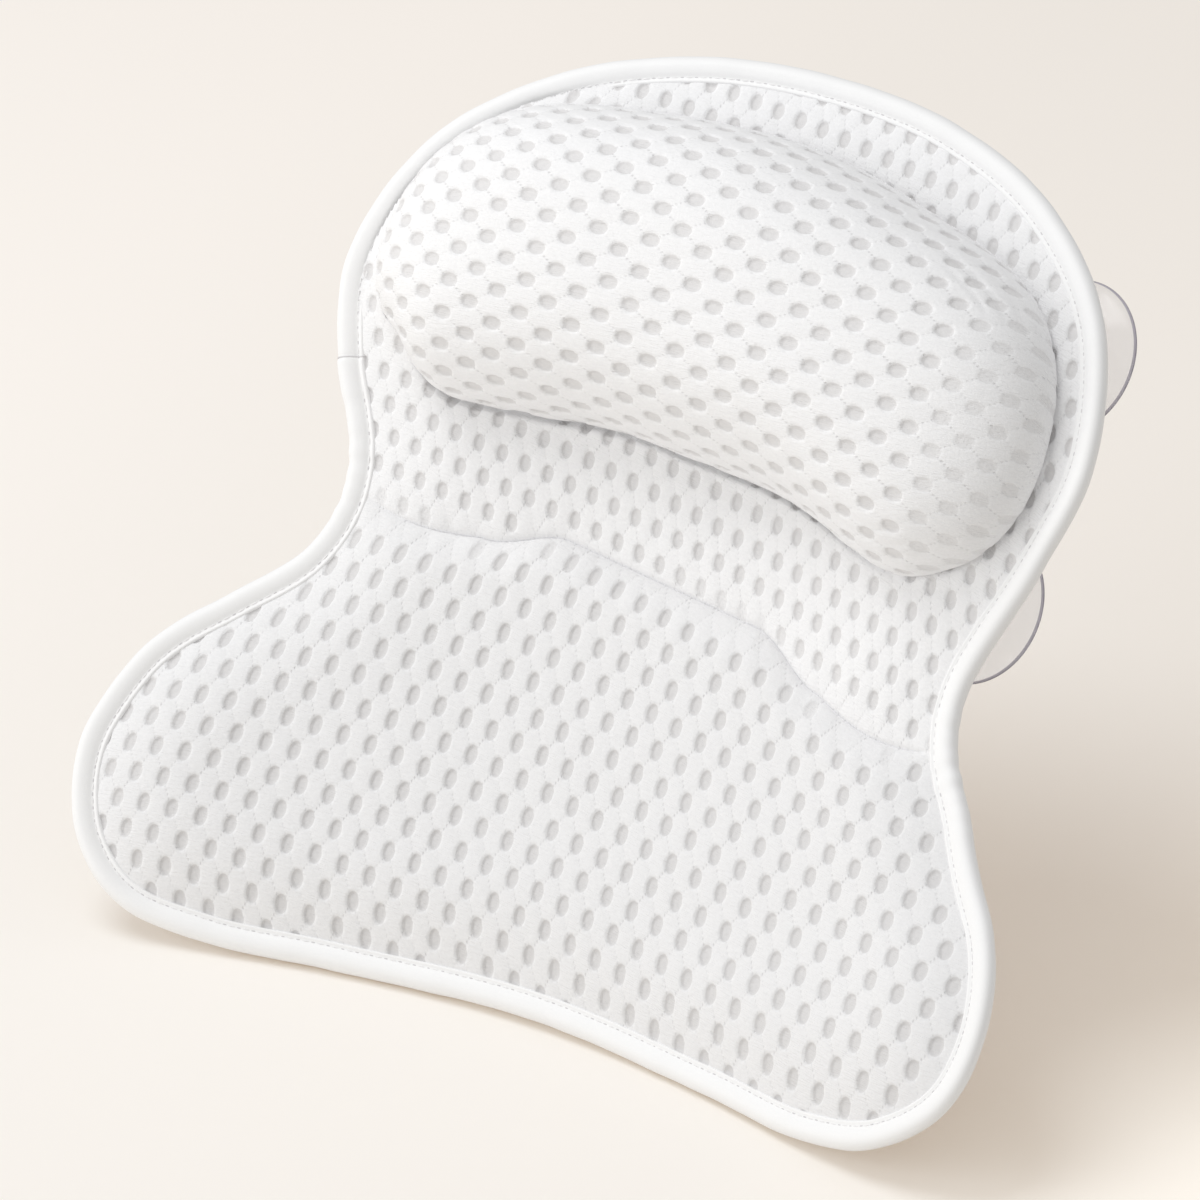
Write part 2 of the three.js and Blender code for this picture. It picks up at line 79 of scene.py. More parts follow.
# The panel's place: it leans back, and the waist fold's axis lies on its back face
LEAN = math.radians(36)
SHEET_BACK = 3.0
RIGHT = np.array([1.0, 0.0, 0.0])
UP = np.array([0.0, math.sin(LEAN), math.cos(LEAN)])
FRONT = np.array([0.0, -math.cos(LEAN), math.sin(LEAN)])
FOLD = next(j for j in frame["joints"] if j["name"] == "waist_fold")
ORIGIN = np.array(FOLD["pos_m"]) + SHEET_BACK * MM * FRONT

# Outline, as on the solids: across as shares of a zone's half width, up as shares of its height
HEAD_HALF_WIDTH = 155.7
HEAD_HEIGHT = 201.2
WAIST_HALF_WIDTH = 133.5
SHOULDER_HALF_WIDTH = 190.0
SHOULDER_HEIGHT = 164.3
BOW = 38.0
HEAD_SHARES = [(0, 1), (0.337, 0.972), (0.652, 0.874), (0.898, 0.695), (1, 0.447), (0.952, 0.253)]
WAIST_SHARES = [(1, 0.012)]
SHOULDER_SHARES = [
    (0.723, -0.11), (0.821, -0.254), (0.952, -0.456), (1, -0.668), (0.956, -0.848),
    (0.835, -0.966), (0.664, -1), (0.42, -0.973), (0, -0.937),
]
OUTLINE_STEPS = 24

# Waist seam
SEAM_MIDDLE = -4.0
SEAM_TILT = math.radians(7)
SEAM_ARCH = 12.3
SEAM_ARCH_FLAT = 41.0
SEAM_ARCH_REACH = 74.0
SEAM_DIP = 5.8
SEAM_DIP_REACH = 60.0

# Sheets and bound edge
EDGE_HEIGHT = 3.0
TAPE_RADIUS = 4.5
TAPE_WIDTH = 10.2
SHEET_TUCK = 8.2
HEAD_CROWN = 6.5
SHOULDER_CROWN = 10.0
EDGE_ROLL = 36.0
BACK_CROWN = 4.0
BACK_ROLL = 22.0
SEAM_DEPTH_SHARE = 0.52
HEAD_SEAM_ROLL = 24.0
SHOULDER_SEAM_ROLL = 17.0
CREASE_DEPTH = 1.5
CREASE_WIDTH = 1.0
CREASE_FADE = (-128.0, -92.0)
FRONT_STEP = 0.75
BACK_STEP = 1.0

# Head bolster, in a frame of its own that is turned about its middle
BOLSTER_MIDDLE = 111.5
BOLSTER_HALF_LENGTH = 139.5
BOLSTER_HALF_WIDTH = 61.5
BOLSTER_HEIGHT = 53.5
BOLSTER_LIFT = 2.4
BOLSTER_LOW_LIFT = 1.0
BOLSTER_TUCK = 5.5
FLOWING_TUCK_SHARE = 0.15
FLOWING = (-130.0, -106.0)
FLOWING_SLANT = 0.45
FLOWING_MIDDLE = 60.0
SEWN_DIP = 2.8
DIP_SLACK_SHARE = 0.85
FLOW_RISE = 5.0
FLOW_REACH = 4.0
BOLSTER_TILT = math.radians(4.5)
BOLSTER_FULLNESS = 2.6
BOLSTER_SHARES = [
    (0, 1), (0.23, 0.957), (0.44, 0.87), (0.605, 0.79), (0.72, 0.7), (0.81, 0.585), (0.89, 0.41),
    (0.95, 0.195), (0.985, -0.05), (1, -0.29), (0.985, -0.585), (0.92, -0.862), (0.84, -1.008),
    (0.76, -1.098), (0.68, -1.122), (0.56, -1.073), (0.44, -1), (0.29, -0.943), (0, -0.935),
]
LOWER_EDGE_SHIFTS = [(5.0, -118.0, 14.0), (-2.6, -55.0, 22.0)]
LOWER_EDGE_BLEND = 25.0
BOLSTER_STATIONS = 400
BOLSTER_RIBS = 201
FLANK_RIBS = 9
FLOOR_RIBS = 4
BOLSTER_SINK = 3.5

# Knitted mesh: how many holes lie along each lattice direction, as sums of powers of the place in
# decimetres. Holes are where both numbers are whole, and where both are halves.
SHOULDER_KNIT = {
    (0, 0): (1.836, -2.573), (0, 1): (0.434, -4.615), (0, 2): (-0.413, -0.042), (0, 3): (-0.136, 0.003),
    (1, 0): (9.29, -1.028), (1, 1): (0.596, -0.464), (1, 2): (0.307, -0.228),
    (2, 0): (-0.319, -0.249), (2, 1): (-0.078, -0.069), (3, 0): (-0.091, 0.106),
}
HEAD_KNIT = {
    (0, 0): (5.271, 1.623), (0, 1): (0.541, -4.483), (1, 0): (10.778, -0.871),
    (1, 1): (-0.29, 0.182), (2, 0): (0.019, -0.176),
}
BOLSTER_KNIT = {(0, 0): (-0.326, 1.391), (0, 1): (8.218, 0.36), (1, 0): (-0.965, 4.581)}
KNIT_SPAN = 100.0
# Half width, half length, and how far a hole is turned from the lattice's columns
SHOULDER_HOLE = (2.33, 3.9, math.radians(1))
HEAD_HOLE = (2.2, 3.6, math.radians(12))
BOLSTER_HOLE = (2.7, 3.95, math.radians(0))
PAD_HEIGHT = 0.26
HOLE_DEPTH = 0.92


def smoothstep(value, low, high):
    share = np.clip((value - low) / (high - low), 0, 1)
    return share * share * (3 - 2 * share)


def bow_at(x):
    return BOW * (x / SHOULDER_HALF_WIDTH) ** 2


def to_world(x, v, w):
    """Panel coordinates in millimetres to the row frame in metres."""
    x, v, w = np.broadcast_arrays(x, v, w)
    lift = w + bow_at(x)
    return ORIGIN + MM * (x[..., None] * RIGHT + v[..., None] * UP + lift[..., None] * FRONT)


def seam_height(x):
    away = np.abs(x)
    arch = SEAM_ARCH * (1 - smoothstep(away, SEAM_ARCH_FLAT, SEAM_ARCH_REACH))
    share = np.clip((away - SEAM_ARCH_REACH) / SEAM_DIP_REACH, 0, 1)
    return SEAM_MIDDLE - math.tan(SEAM_TILT) * x + arch - SEAM_DIP * np.sin(math.pi * share)


def closed_curve(loop, steps):
    """A smooth closed curve through a loop of points."""
    points = []
    for i in range(len(loop)):
        p0, p1, p2, p3 = (loop[(i + k) % len(loop)] for k in (-1, 0, 1, 2))
        d0, d1, d2 = (math.sqrt(np.linalg.norm(b - a)) for a, b in ((p0, p1), (p1, p2), (p2, p3)))
        m1 = d1 * ((p1 - p0) / d0 - (p2 - p0) / (d0 + d1) + (p2 - p1) / d1)
        m2 = d1 * ((p2 - p1) / d1 - (p3 - p1) / (d1 + d2) + (p3 - p2) / d2)
        for k in range(steps):
            t = k / steps
            points.append(
                (2 * t**3 - 3 * t**2 + 1) * p1 + (t**3 - 2 * t**2 + t) * m1
                + (3 * t**2 - 2 * t**3) * p2 + (t**3 - t**2) * m2
            )
    return np.array(points)


def mirrored(right):
    """A closed loop from its right half, whose first and last points lie in the middle."""
    return np.array(right + [(-x, v) for x, v in right[-2:0:-1]], float)


def outline_points():
    def zone(shares, half, height):
        return [(a * half, b * height) for a, b in shares]

    right = (
        zone(HEAD_SHARES, HEAD_HALF_WIDTH, HEAD_HEIGHT)
        + zone(WAIST_SHARES, WAIST_HALF_WIDTH, HEAD_HEIGHT)
        + zone(SHOULDER_SHARES, SHOULDER_HALF_WIDTH, SHOULDER_HEIGHT)
    )
    return closed_curve(mirrored(right)[::-1], OUTLINE_STEPS)


def evenly(points, count):
    """A closed line of points, spaced evenly along its length."""
    closed = np.vstack([points, points[:1]])
    lengths = np.r_[0, np.cumsum(np.linalg.norm(np.diff(closed, axis=0), axis=1))]
    at = np.linspace(0, lengths[-1], count, endpoint=False)
    return np.c_[np.interp(at, lengths, closed[:, 0]), np.interp(at, lengths, closed[:, 1])]


# The sewn edge isn't quite symmetric: how far it lies inside the outline (negative is outside), in
# mm, near which place, and over what reach
OUTLINE_SHIFTS = [
    (4.8, (-136.5, 21.0), 27.0), (-1.9, (-171.0, -58.0), 24.0), (-3.0, (-163.0, -159.0), 26.0),
    (3.3, (172.0, -55.5), 25.0), (-2.2, (186.0, -135.0), 24.0),
]


def edge_directions(line):
    """The direction along a closed line at each of its points, and the one that points inwards."""
    along = np.roll(line, -1, axis=0) - np.roll(line, 1, axis=0)
    along /= np.linalg.norm(along, axis=1)[:, None]
    return along, np.c_[-along[:, 1], along[:, 0]]


def sewn_edge(line):
    """The outline, moved to where the edge is sewn."""
    inwards = edge_directions(line)[1]
    shift = np.zeros(len(line))
    for inside, at, reach in OUTLINE_SHIFTS:
        shift += inside * np.exp(-((np.linalg.norm(line - np.array(at), axis=1) / reach) ** 2))
    return line + shift[:, None] * inwards


EDGE_COUNT = 1440
EDGE = evenly(sewn_edge(evenly(outline_points(), EDGE_COUNT)), EDGE_COUNT)
EDGE_INWARDS = edge_directions(EDGE)[1]
EDGE_LENGTH = np.linalg.norm(np.roll(EDGE, -1, axis=0) - EDGE, axis=1).sum()

# The grid on which depths inside a line are kept
COARSE = 3.0
MARGIN = 12.0
GRID_BLOCK = 2048
LAST_CELL = 1.001


def depth_inside(line):
    """A function of places that tells how far inside a closed line they lie, from a coarse grid."""
    inwards = edge_directions(line)[1]
    xs = np.arange(-SHOULDER_HALF_WIDTH - MARGIN, SHOULDER_HALF_WIDTH + MARGIN + COARSE, COARSE)
    vs = np.arange(-SHOULDER_HEIGHT - MARGIN, HEAD_HEIGHT + MARGIN + COARSE, COARSE)
    grid_x, grid_v = np.meshgrid(xs, vs)
    points = np.c_[grid_x.ravel(), grid_v.ravel()]
    depth = np.empty(len(points))
    for start in range(0, len(points), GRID_BLOCK):
        offset = points[start:start + GRID_BLOCK, None, :] - line[None, :, :]
        square = (offset**2).sum(axis=2)
        near = square.argmin(axis=1)
        rows = np.arange(len(near))
        side = (offset[rows, near] * inwards[near]).sum(axis=1)
        depth[start:start + GRID_BLOCK] = np.sign(side) * np.sqrt(square[rows, near])
    depth = depth.reshape(grid_x.shape)

    def lookup(x, v):
        across = np.clip((x - xs[0]) / COARSE, 0, len(xs) - LAST_CELL)
        up = np.clip((v - vs[0]) / COARSE, 0, len(vs) - LAST_CELL)
        i, j = across.astype(int), up.astype(int)
        a, b = across - i, up - j
        low = depth[j, i] * (1 - a) + depth[j, i + 1] * a
        high = depth[j + 1, i] * (1 - a) + depth[j + 1, i + 1] * a
        return low * (1 - b) + high * b

    return lookup


def lower_edge_shift(x0, v0):
    """The stuffing draws the lower edge up near the left end, and lets it sag beside that."""
    shift = sum(rise * np.exp(-(((x0 - at) / reach) ** 2)) for rise, at, reach in LOWER_EDGE_SHIFTS)
    return shift * smoothstep(-v0, 0, LOWER_EDGE_BLEND)


def bolster_outline(shifted=True):
    loop = closed_curve(mirrored(BOLSTER_SHARES), OUTLINE_STEPS)
    loop *= (BOLSTER_HALF_LENGTH, BOLSTER_HALF_WIDTH)
    if shifted:
        loop[:, 1] += lower_edge_shift(loop[:, 0], loop[:, 1])
    return loop


def bolster_place(x0, v0):
    """From the bolster's own frame to panel coordinates."""
    x = x0 * math.cos(BOLSTER_TILT) + v0 * math.sin(BOLSTER_TILT)
    return x, BOLSTER_MIDDLE - x0 * math.sin(BOLSTER_TILT) + v0 * math.cos(BOLSTER_TILT)


def sewn_down(x, v):
    """0 at the bolster's left end, where it flows into the sheet, and 1 where its seam is tight."""
    return smoothstep(x - FLOWING_SLANT * (v - FLOWING_MIDDLE), *FLOWING)


BOLSTER_COUNT = 480
BOLSTER_LINE = evenly(np.c_[bolster_place(*bolster_outline()[::-1].T)], BOLSTER_COUNT)
edge_depth = depth_inside(EDGE)
bolster_depth = depth_inside(BOLSTER_LINE)


def ripples(along, lengths, phases):
    """A sum of sines along a line, between -1 and 1."""
    waves = [np.sin(2 * math.pi * along / n + f) for n, f in zip(lengths, phases)]
    return sum(waves) / len(waves)


def dome(distance, roll):
    share = np.clip(distance / roll, 0, 1)
    return 1 - (1 - share) ** 2


# Puckers along the seam and the edge, and soft waves over the sheets: their wave lengths and phases
PUCKER = 0.7
PUCKER_REACH = 13.0
SEAM_WAVES = ((17.0, 23.0, 11.0), (0.4, 2.1, 4.0))
SHOULDER_WAVE_OFFSET = 5
EDGE_PUCKER = 0.3
EDGE_PUCKER_START = 8
EDGE_WAVES = ((19.0, 27.0, 13.0), (1.0, 3.3, 5.2))
EDGE_WAVES_RUN = (0.8, 1.1)
UNDULATION = 0.3
RISE_SLANT = 0.6
FALL_SLANT = 0.4
RISING_WAVES = ((71.0, 113.0), (0.3, 1.9))
FALLING_WAVES = ((83.0, 57.0), (2.2, 0.7))
CREASE_START = 10


def front_height(x, v):
    """Height of the front sheet over the panel's middle surface."""
    depth = edge_depth(x, v) - TAPE_WIDTH
    past = v - seam_height(x)
    away = np.abs(past)
    head = past > 0
    rise = dome(away, np.where(head, HEAD_SEAM_ROLL, SHOULDER_SEAM_ROLL))
    fall = 1 - SEAM_DEPTH_SHARE * (1 - rise)
    mean = (HEAD_CROWN + SHOULDER_CROWN) / 2
    crown = mean + (np.where(head, HEAD_CROWN, SHOULDER_CROWN) - mean) * rise
    inner = dome(depth, EDGE_ROLL)
    shape = crown * fall * inner
    seam_waves = ripples(x + np.where(head, 0, SHOULDER_WAVE_OFFSET), *SEAM_WAVES)
    shape += PUCKER * seam_waves * np.exp(-away / PUCKER_REACH) * rise * inner
    edge_waves = ripples(x * EDGE_WAVES_RUN[0] + v * EDGE_WAVES_RUN[1], *EDGE_WAVES)
    near_edge = np.exp(-np.maximum(depth, 0) / PUCKER_REACH) * dome(depth, EDGE_PUCKER_START)
    shape += EDGE_PUCKER * edge_waves * near_edge
    rising = ripples(x + RISE_SLANT * v, *RISING_WAVES)
    falling = ripples(v - FALL_SLANT * x, *FALLING_WAVES)
    shape += UNDULATION * (rising + falling) * inner
    crease = CREASE_DEPTH * smoothstep(x, *CREASE_FADE) * np.exp(-away / CREASE_WIDTH)
    shape -= crease * dome(depth, CREASE_START)
    return EDGE_HEIGHT + shape


# Where the sheet is slack, and how far from the bolster's seam it dips and flows
SLACK_RIGHT = (40, 105)
SLACK_ABOVE = (90, 135)
DIP_EDGE = (-0.5, 2.6)
FLOW_EDGE = (-3.0, 0.0)


def sheet_height(x, v):
    """The front sheet, drawn down to the bolster's seam, and flowing up to it at its left end."""
    outside = -bolster_depth(x, v)
    sewn = sewn_down(x, v)
    slack = DIP_SLACK_SHARE * np.maximum(smoothstep(x, *SLACK_RIGHT), smoothstep(v, *SLACK_ABOVE))
    dip = SEWN_DIP * (1 - slack) * (1 - smoothstep(outside, *DIP_EDGE)) * sewn
    flow = FLOW_RISE * (1 - sewn) * np.exp(-np.maximum(outside, 0) / FLOW_REACH)
    return front_height(x, v) - dip + flow * smoothstep(outside, *FLOW_EDGE)


# Each fold's depth inside the bolster's seam, and where along the bolster it begins and stops
WRINKLE_DEPTH = 0.6
WRINKLE_HALF_WIDTH = 0.9
WRINKLES = [(3.6, (40, 60), (112, 126)), (7.4, (62, 78), (106, 118)), (11.6, (80, 92), (100, 110))]


def wrinkles(x0, depth):
    """Fine folds in the bolster's cover along its upper right edge, where it is gathered."""
    total = np.zeros(depth.shape)
    for inset, begin, stop in WRINKLES:
        there = smoothstep(x0, *begin) * (1 - smoothstep(x0, *stop))
        total += there * np.exp(-(((depth - inset) / WRINKLE_HALF_WIDTH) ** 2))
    return WRINKLE_DEPTH * total


BACK_PINCH = 0.75
BACK_CREASE_SHARE = 0.5


def back_height(x, v):
    """How far the back sheet lies behind the panel's middle surface."""
    depth = edge_depth(x, v) - TAPE_WIDTH
    away = np.abs(v - seam_height(x))
    pinch = BACK_PINCH * (1 - dome(away, SHOULDER_SEAM_ROLL))
    crease = BACK_CREASE_SHARE * CREASE_DEPTH * np.exp(-away / CREASE_WIDTH)
    return EDGE_HEIGHT + (BACK_CROWN * (1 - pinch) - crease) * dome(depth, BACK_ROLL)


def knit_at(terms, a, b):
    """Lattice coordinates of places on a sheet."""
    a, b = a / KNIT_SPAN, b / KNIT_SPAN
    return tuple(sum(c[k] * a**m * b**n for (m, n), c in terms.items()) for k in (0, 1))


def knit_steps(terms):
    """The lattice's row step and column step in millimetres, near the middle of the sheet."""
    slopes = np.array([terms[1, 0], terms[0, 1]]).T / KNIT_SPAN
    inverse = np.linalg.inv(slopes)
    return inverse[:, 0], inverse[:, 1]


def hole_scales(terms):
    """What turns lattice steps into shares of a hole's half width, and of its half length."""
    steps = knit_steps(terms)
    holes = ((SHOULDER_KNIT, SHOULDER_HOLE), (HEAD_KNIT, HEAD_HOLE), (BOLSTER_KNIT, BOLSTER_HOLE))
    half_width, half_length, turn = next(hole for knit, hole in holes if knit is terms)
    angle = math.atan2(steps[1][1], steps[1][0]) + turn
    along = np.array([math.cos(angle), math.sin(angle)])
    across = np.array([along[1], -along[0]])
    return [float(step @ across / half_width) for step in steps], [
        float(step @ along / half_length) for step in steps]


def nearest_hole(s, t, terms):
    """Distance to the nearest hole, in shares of the hole's size, and that hole's lattice place."""
    wide, tall = hole_scales(terms)
    found = np.full(s.shape, np.inf)
    hole = [np.zeros(s.shape), np.zeros(s.shape)]
    for shift in (0, 0.5):
        hs, ht = np.round(s + shift) - shift, np.round(t + shift) - shift
        ds, dt = s - hs, t - ht
        distance = np.hypot(ds * wide[0] + dt * wide[1], ds * tall[0] + dt * tall[1])
        closer = distance < found
        found = np.where(closer, distance, found)
        hole = [np.where(closer, new, old) for new, old in zip((hs, ht), hole)]
    return found, hole


PIT_EDGE = (0.78, 1.05)


def relief(s, t, distance, open_here):
    """Height of the knit over the sheet: pads between the holes, and a pit at each open hole."""
    pads = np.sqrt(np.abs(np.sin(math.pi * (s + t)) * np.sin(math.pi * (s - t))))
    pit = (1 - smoothstep(distance, *PIT_EDGE)) * open_here
    return PAD_HEIGHT * pads * (1 - pit) - HOLE_DEPTH * pit


# Meshes, in metres
WELD_DISTANCE = 1e-6
TINY = 1e-12


def mesh_object(name, points, faces, knit=None, smooth=True):
    """A mesh of quads. knit holds each point's lattice coordinates and whether its hole is open."""
    mesh = bpy.data.meshes.new(name)
    points = np.asarray(points, float)
    faces = np.asarray(faces, np.int32)
    sides = faces.shape[1]
    mesh.vertices.add(len(points))
    mesh.vertices.foreach_set("co", points.ravel())
    mesh.loops.add(faces.size)
    mesh.loops.foreach_set("vertex_index", faces.ravel())
    mesh.polygons.add(len(faces))
    mesh.polygons.foreach_set("loop_start", np.arange(0, faces.size, sides, dtype=np.int32))
    mesh.update(calc_edges=True)
    mesh.validate()
    if knit is not None:
        layer = mesh.uv_layers.new(name="fabric")
        layer.data.foreach_set("uv", knit[faces.ravel(), :2].ravel())
        mesh.attributes.new("open", "FLOAT", "POINT").data.foreach_set("value", knit[:, 2].copy())
    mesh.polygons.foreach_set("use_smooth", np.full(len(mesh.polygons), smooth))
    mesh.update()
    obj = bpy.data.objects.new(name, mesh)
    bpy.context.scene.collection.objects.link(obj)
    return obj


def grid_normals(points):
    across = np.gradient(points, axis=1)
    along = np.gradient(points, axis=0)
    normal = np.cross(across, along)
    return normal / np.maximum(np.linalg.norm(normal, axis=2), TINY)[..., None]


def grid_faces(rows, columns, wrap=False):
    index = np.arange(rows * columns).reshape(rows, columns)
    if wrap:
        index = np.hstack([index, index[:, :1]])
    a, b, c, d = index[:-1, :-1], index[:-1, 1:], index[1:, 1:], index[1:, :-1]
    return np.stack([a.ravel(), b.ravel(), c.ravel(), d.ravel()], axis=1)


def keep_used(points, data, faces):
    used = np.unique(faces)
    lookup = np.zeros(len(points), np.int32)
    lookup[used] = np.arange(len(used))
    return points[used], data[used], lookup[faces]


# Holes open between these distances from the waist seam, and the knit starts past seam and tape
SHOULDER_SEAM_CLEAR = (2.0, 8.5)
HEAD_SEAM_CLEAR = (0.5, 6.5)
KNIT_START = 1.6
KNIT_UNDER_TAPE = 1.5
KNIT_PAST_TAPE = 1.0
PAST_SEAM = 1e-6


def panel_sheet(name, terms, height, side, part, step):
    """One sheet: side 1 is the front and -1 the back, part 1 the head and -1 the shoulders."""
    xs = np.arange(-SHOULDER_HALF_WIDTH, SHOULDER_HALF_WIDTH + step, step)
    past = part * np.arange(0, HEAD_HEIGHT + SEAM_ARCH + MARGIN, step)
    x, p = np.meshgrid(xs, past)
    v = seam_height(x) + p
    base = to_world(x, v, side * height(x, v + part * PAST_SEAM))
    normal = grid_normals(base) * side * part
    depth = edge_depth(x, v)
    s, t = knit_at(terms, x, v)
    distance, (hole_s, hole_t) = nearest_hole(s, t, terms)
    row, column = knit_steps(terms)
    hole_x = x - row[0] * (s - hole_s) - column[0] * (t - hole_t)
    hole_v = v - row[1] * (s - hole_s) - column[1] * (t - hole_t)
    clear = SHOULDER_SEAM_CLEAR if part < 0 else HEAD_SEAM_CLEAR
    open_here = smoothstep(part * (hole_v - seam_height(hole_x)), *clear)
    clear_of_tape = smoothstep(depth, TAPE_WIDTH - KNIT_UNDER_TAPE, TAPE_WIDTH + KNIT_PAST_TAPE)
    clear_of_seam = smoothstep(np.abs(p), 0.0, KNIT_START)
    knit = relief(s, t, distance, open_here) * clear_of_tape * clear_of_seam
    points = (base + MM * knit[..., None] * normal).reshape(-1, 3)
    faces = grid_faces(*x.shape)
    if side * part < 0:
        faces = faces[:, ::-1]
    faces = faces[(depth > SHEET_TUCK).ravel()[faces].all(axis=1)]
    knit_data = np.c_[s.ravel(), t.ravel(), open_here.ravel()]
    points, knit_data, faces = keep_used(points, knit_data, faces)
    return mesh_object(name, points, faces, knit_data)


SPINE_SAMPLES = 4001


def spine_places(count):
    """Places along the bolster that are even over its curved back, and that curved length."""
    angle = np.linspace(-math.pi / 2, math.pi / 2, SPINE_SAMPLES)
    x = BOLSTER_HALF_LENGTH * np.sin(angle)
    rise = (BOLSTER_HEIGHT - BOLSTER_LIFT) * np.cos(angle)
    length = np.r_[0, np.cumsum(np.hypot(np.diff(x), np.diff(rise)))]
    length -= length[-1] / 2
    even = np.linspace(length[0], length[-1], count)
    return np.interp(even, length, x), even


def bolster_chords(x):
    """The bolster's outline above and below each place along it."""
    loop = bolster_outline(shifted=False)
    tip = loop[:, 0].argmax()
    top, bottom = loop[:tip + 1], loop[tip:len(loop) // 2 + 1][::-1]
    away = np.abs(x) * loop[tip, 0] / BOLSTER_HALF_LENGTH
    low = np.interp(away, bottom[:, 0], bottom[:, 1])
    return np.interp(away, top[:, 0], top[:, 1]), low + lower_edge_shift(x, low)


# The cover is stretched at the right end, and its holes are fainter there and at both ends
STRETCHED = (94.0, 122.0)
STRETCHED_SHARE = 0.5
END_FADE = (2.0, 8.0)
FADE_RIBS = 5
NARROWEST_SHARE = 0.35
TUCK_CURVE = 1.5
FIRST_RIB = FLOOR_RIBS + FLANK_RIBS
LAST_RIB = FIRST_RIB + BOLSTER_RIBS - 1


def bolster_section():
    """Around one section: out along the floor, up one flank, over the dome, down and back."""
    side = -np.cos(np.linspace(0, math.pi, BOLSTER_RIBS))
    floor = np.arange(FLOOR_RIBS) / FLOOR_RIBS
    flank = np.linspace(0, 1, FLANK_RIBS + 1)[1:]
    across = np.r_[-floor, -np.ones(FLANK_RIBS), side, np.ones(FLANK_RIBS), floor[:0:-1]]
    down = np.r_[
        np.ones(FLOOR_RIBS), flank[::-1], np.zeros(BOLSTER_RIBS), flank, np.ones(FLOOR_RIBS - 1)]
    rise = np.zeros(len(across))
    rise[FIRST_RIB:LAST_RIB + 1] = np.maximum(1 - np.abs(side) ** BOLSTER_FULLNESS, 0) ** 0.5
    return across, down, rise


def bolster_knit(base, middle, along, length):
    """Lattice coordinates of places on the cover, and how far their holes are open."""
    step = np.linalg.norm(np.diff(base, axis=0), axis=2) / MM
    around = np.vstack([np.zeros(len(along)), np.cumsum(step, axis=0)])
    around = middle + around - around[FIRST_RIB + BOLSTER_RIBS // 2]
    s, t = knit_at(BOLSTER_KNIT, np.broadcast_to(length, around.shape), around)
    rib = np.arange(len(base))[:, None]
    on_dome = smoothstep(rib, FIRST_RIB - FADE_RIBS, FIRST_RIB)
    on_dome = on_dome * smoothstep(LAST_RIB + FADE_RIBS - rib, 0, FADE_RIBS)
    open_here = on_dome * smoothstep(length[-1] - np.abs(length), *END_FADE)
    return s, t, open_here * (1 - STRETCHED_SHARE * smoothstep(along, *STRETCHED))


def bolster_cover():
    """The bolster's cover: a dome, a tucked-in flank all round and a floor on the front mesh."""
    along, length = spine_places(BOLSTER_STATIONS)
    top, bottom = bolster_chords(along)
    middle, half = (top + bottom) / 2, (top - bottom) / 2
    end = np.sqrt(np.maximum(1 - (along / BOLSTER_HALF_LENGTH) ** 2, 0))
    across, down, dome_rise = bolster_section()
    sewn = sewn_down(*bolster_place(along[None, :], middle + across[:, None] * half))
    lift = BOLSTER_LOW_LIFT + (BOLSTER_LIFT - BOLSTER_LOW_LIFT) * sewn
    tight = FLOWING_TUCK_SHARE + (1 - FLOWING_TUCK_SHARE) * sewn
    tuck_in = BOLSTER_TUCK * (down**TUCK_CURVE)[:, None] * tight
    lifted = (lift + BOLSTER_SINK) * (1 - down)[:, None] - BOLSTER_SINK
    x0 = along[None, :] * (1 - tuck_in / BOLSTER_HALF_LENGTH)
    narrow = np.maximum(half - tuck_in, NARROWEST_SHARE * half)
    v0 = middle + across[:, None] * narrow
    x, v = bolster_place(x0, v0)
    crest = (BOLSTER_HEIGHT - lift) * end
    w = front_height(x, v) + lifted + crest * dome_rise[:, None]
    w -= wrinkles(x0, bolster_depth(x, v)) * (dome_rise[:, None] > 0)
    base = to_world(x, v, w)
    s, t, open_here = bolster_knit(base, middle, along, length)
    knit = relief(s, t, nearest_hole(s, t, BOLSTER_KNIT)[0], open_here) * open_here
    points = base + MM * knit[..., None] * grid_normals(base)
    knit_data = np.c_[s.ravel(), t.ravel(), open_here.ravel()]
    faces = grid_faces(len(along), len(across), wrap=True)
    order = np.arange(len(across) * len(along)).reshape(len(across), len(along)).T.ravel()
    cover = mesh_object("bolster_air_mesh", points.reshape(-1, 3)[order], faces, knit_data[order])
    weld(cover)
    return cover


# Binding: a round satin tape, with a sewn lip along its inner edge
TAPE_ARC = 16
TAPE_FLANK = [(5.6, 4.36), (6.5, 4.1), (7.2, 3.75), (7.75, 3.35), (8.25, 3.15), (8.75, 3.22),
              (9.2, 3.5), (9.6, 3.62), (9.95, 3.5), (10.15, 3.1), (10.2, 2.2)]
LAP_AT = (-145.8, 52.0)
LAP_LENGTH = 13.0
LAP_FADE = 6
LAP_RISE = 0.35
LAP_GROOVE = 0.3
LAP_EDGE = 0.8
LAP_BEFORE = 40
SOFTNESS = 0.12
SOFT_WAVES = ((31.0, 47.0, 19.0), (0.2, 1.4, 2.9))
GATHER = 0.28
GATHER_REACH = 16.0
GATHER_WAVES = ((11.0, 7.3), (0.6, 2.2))


def lap_index():
    return np.linalg.norm(EDGE - np.array(LAP_AT), axis=1).argmin()


def tape_section():
    """The tape's section, from its back lip round the outer edge to its front lip."""
    arc = np.linspace(-math.pi / 2, -3 * math.pi / 2, TAPE_ARC)
    round_edge = [(TAPE_RADIUS + TAPE_RADIUS * math.cos(a), TAPE_RADIUS * math.sin(a)) for a in arc]
    back = [(d, -w) for d, w in TAPE_FLANK[::-1]]
    return np.array(back + round_edge + TAPE_FLANK)


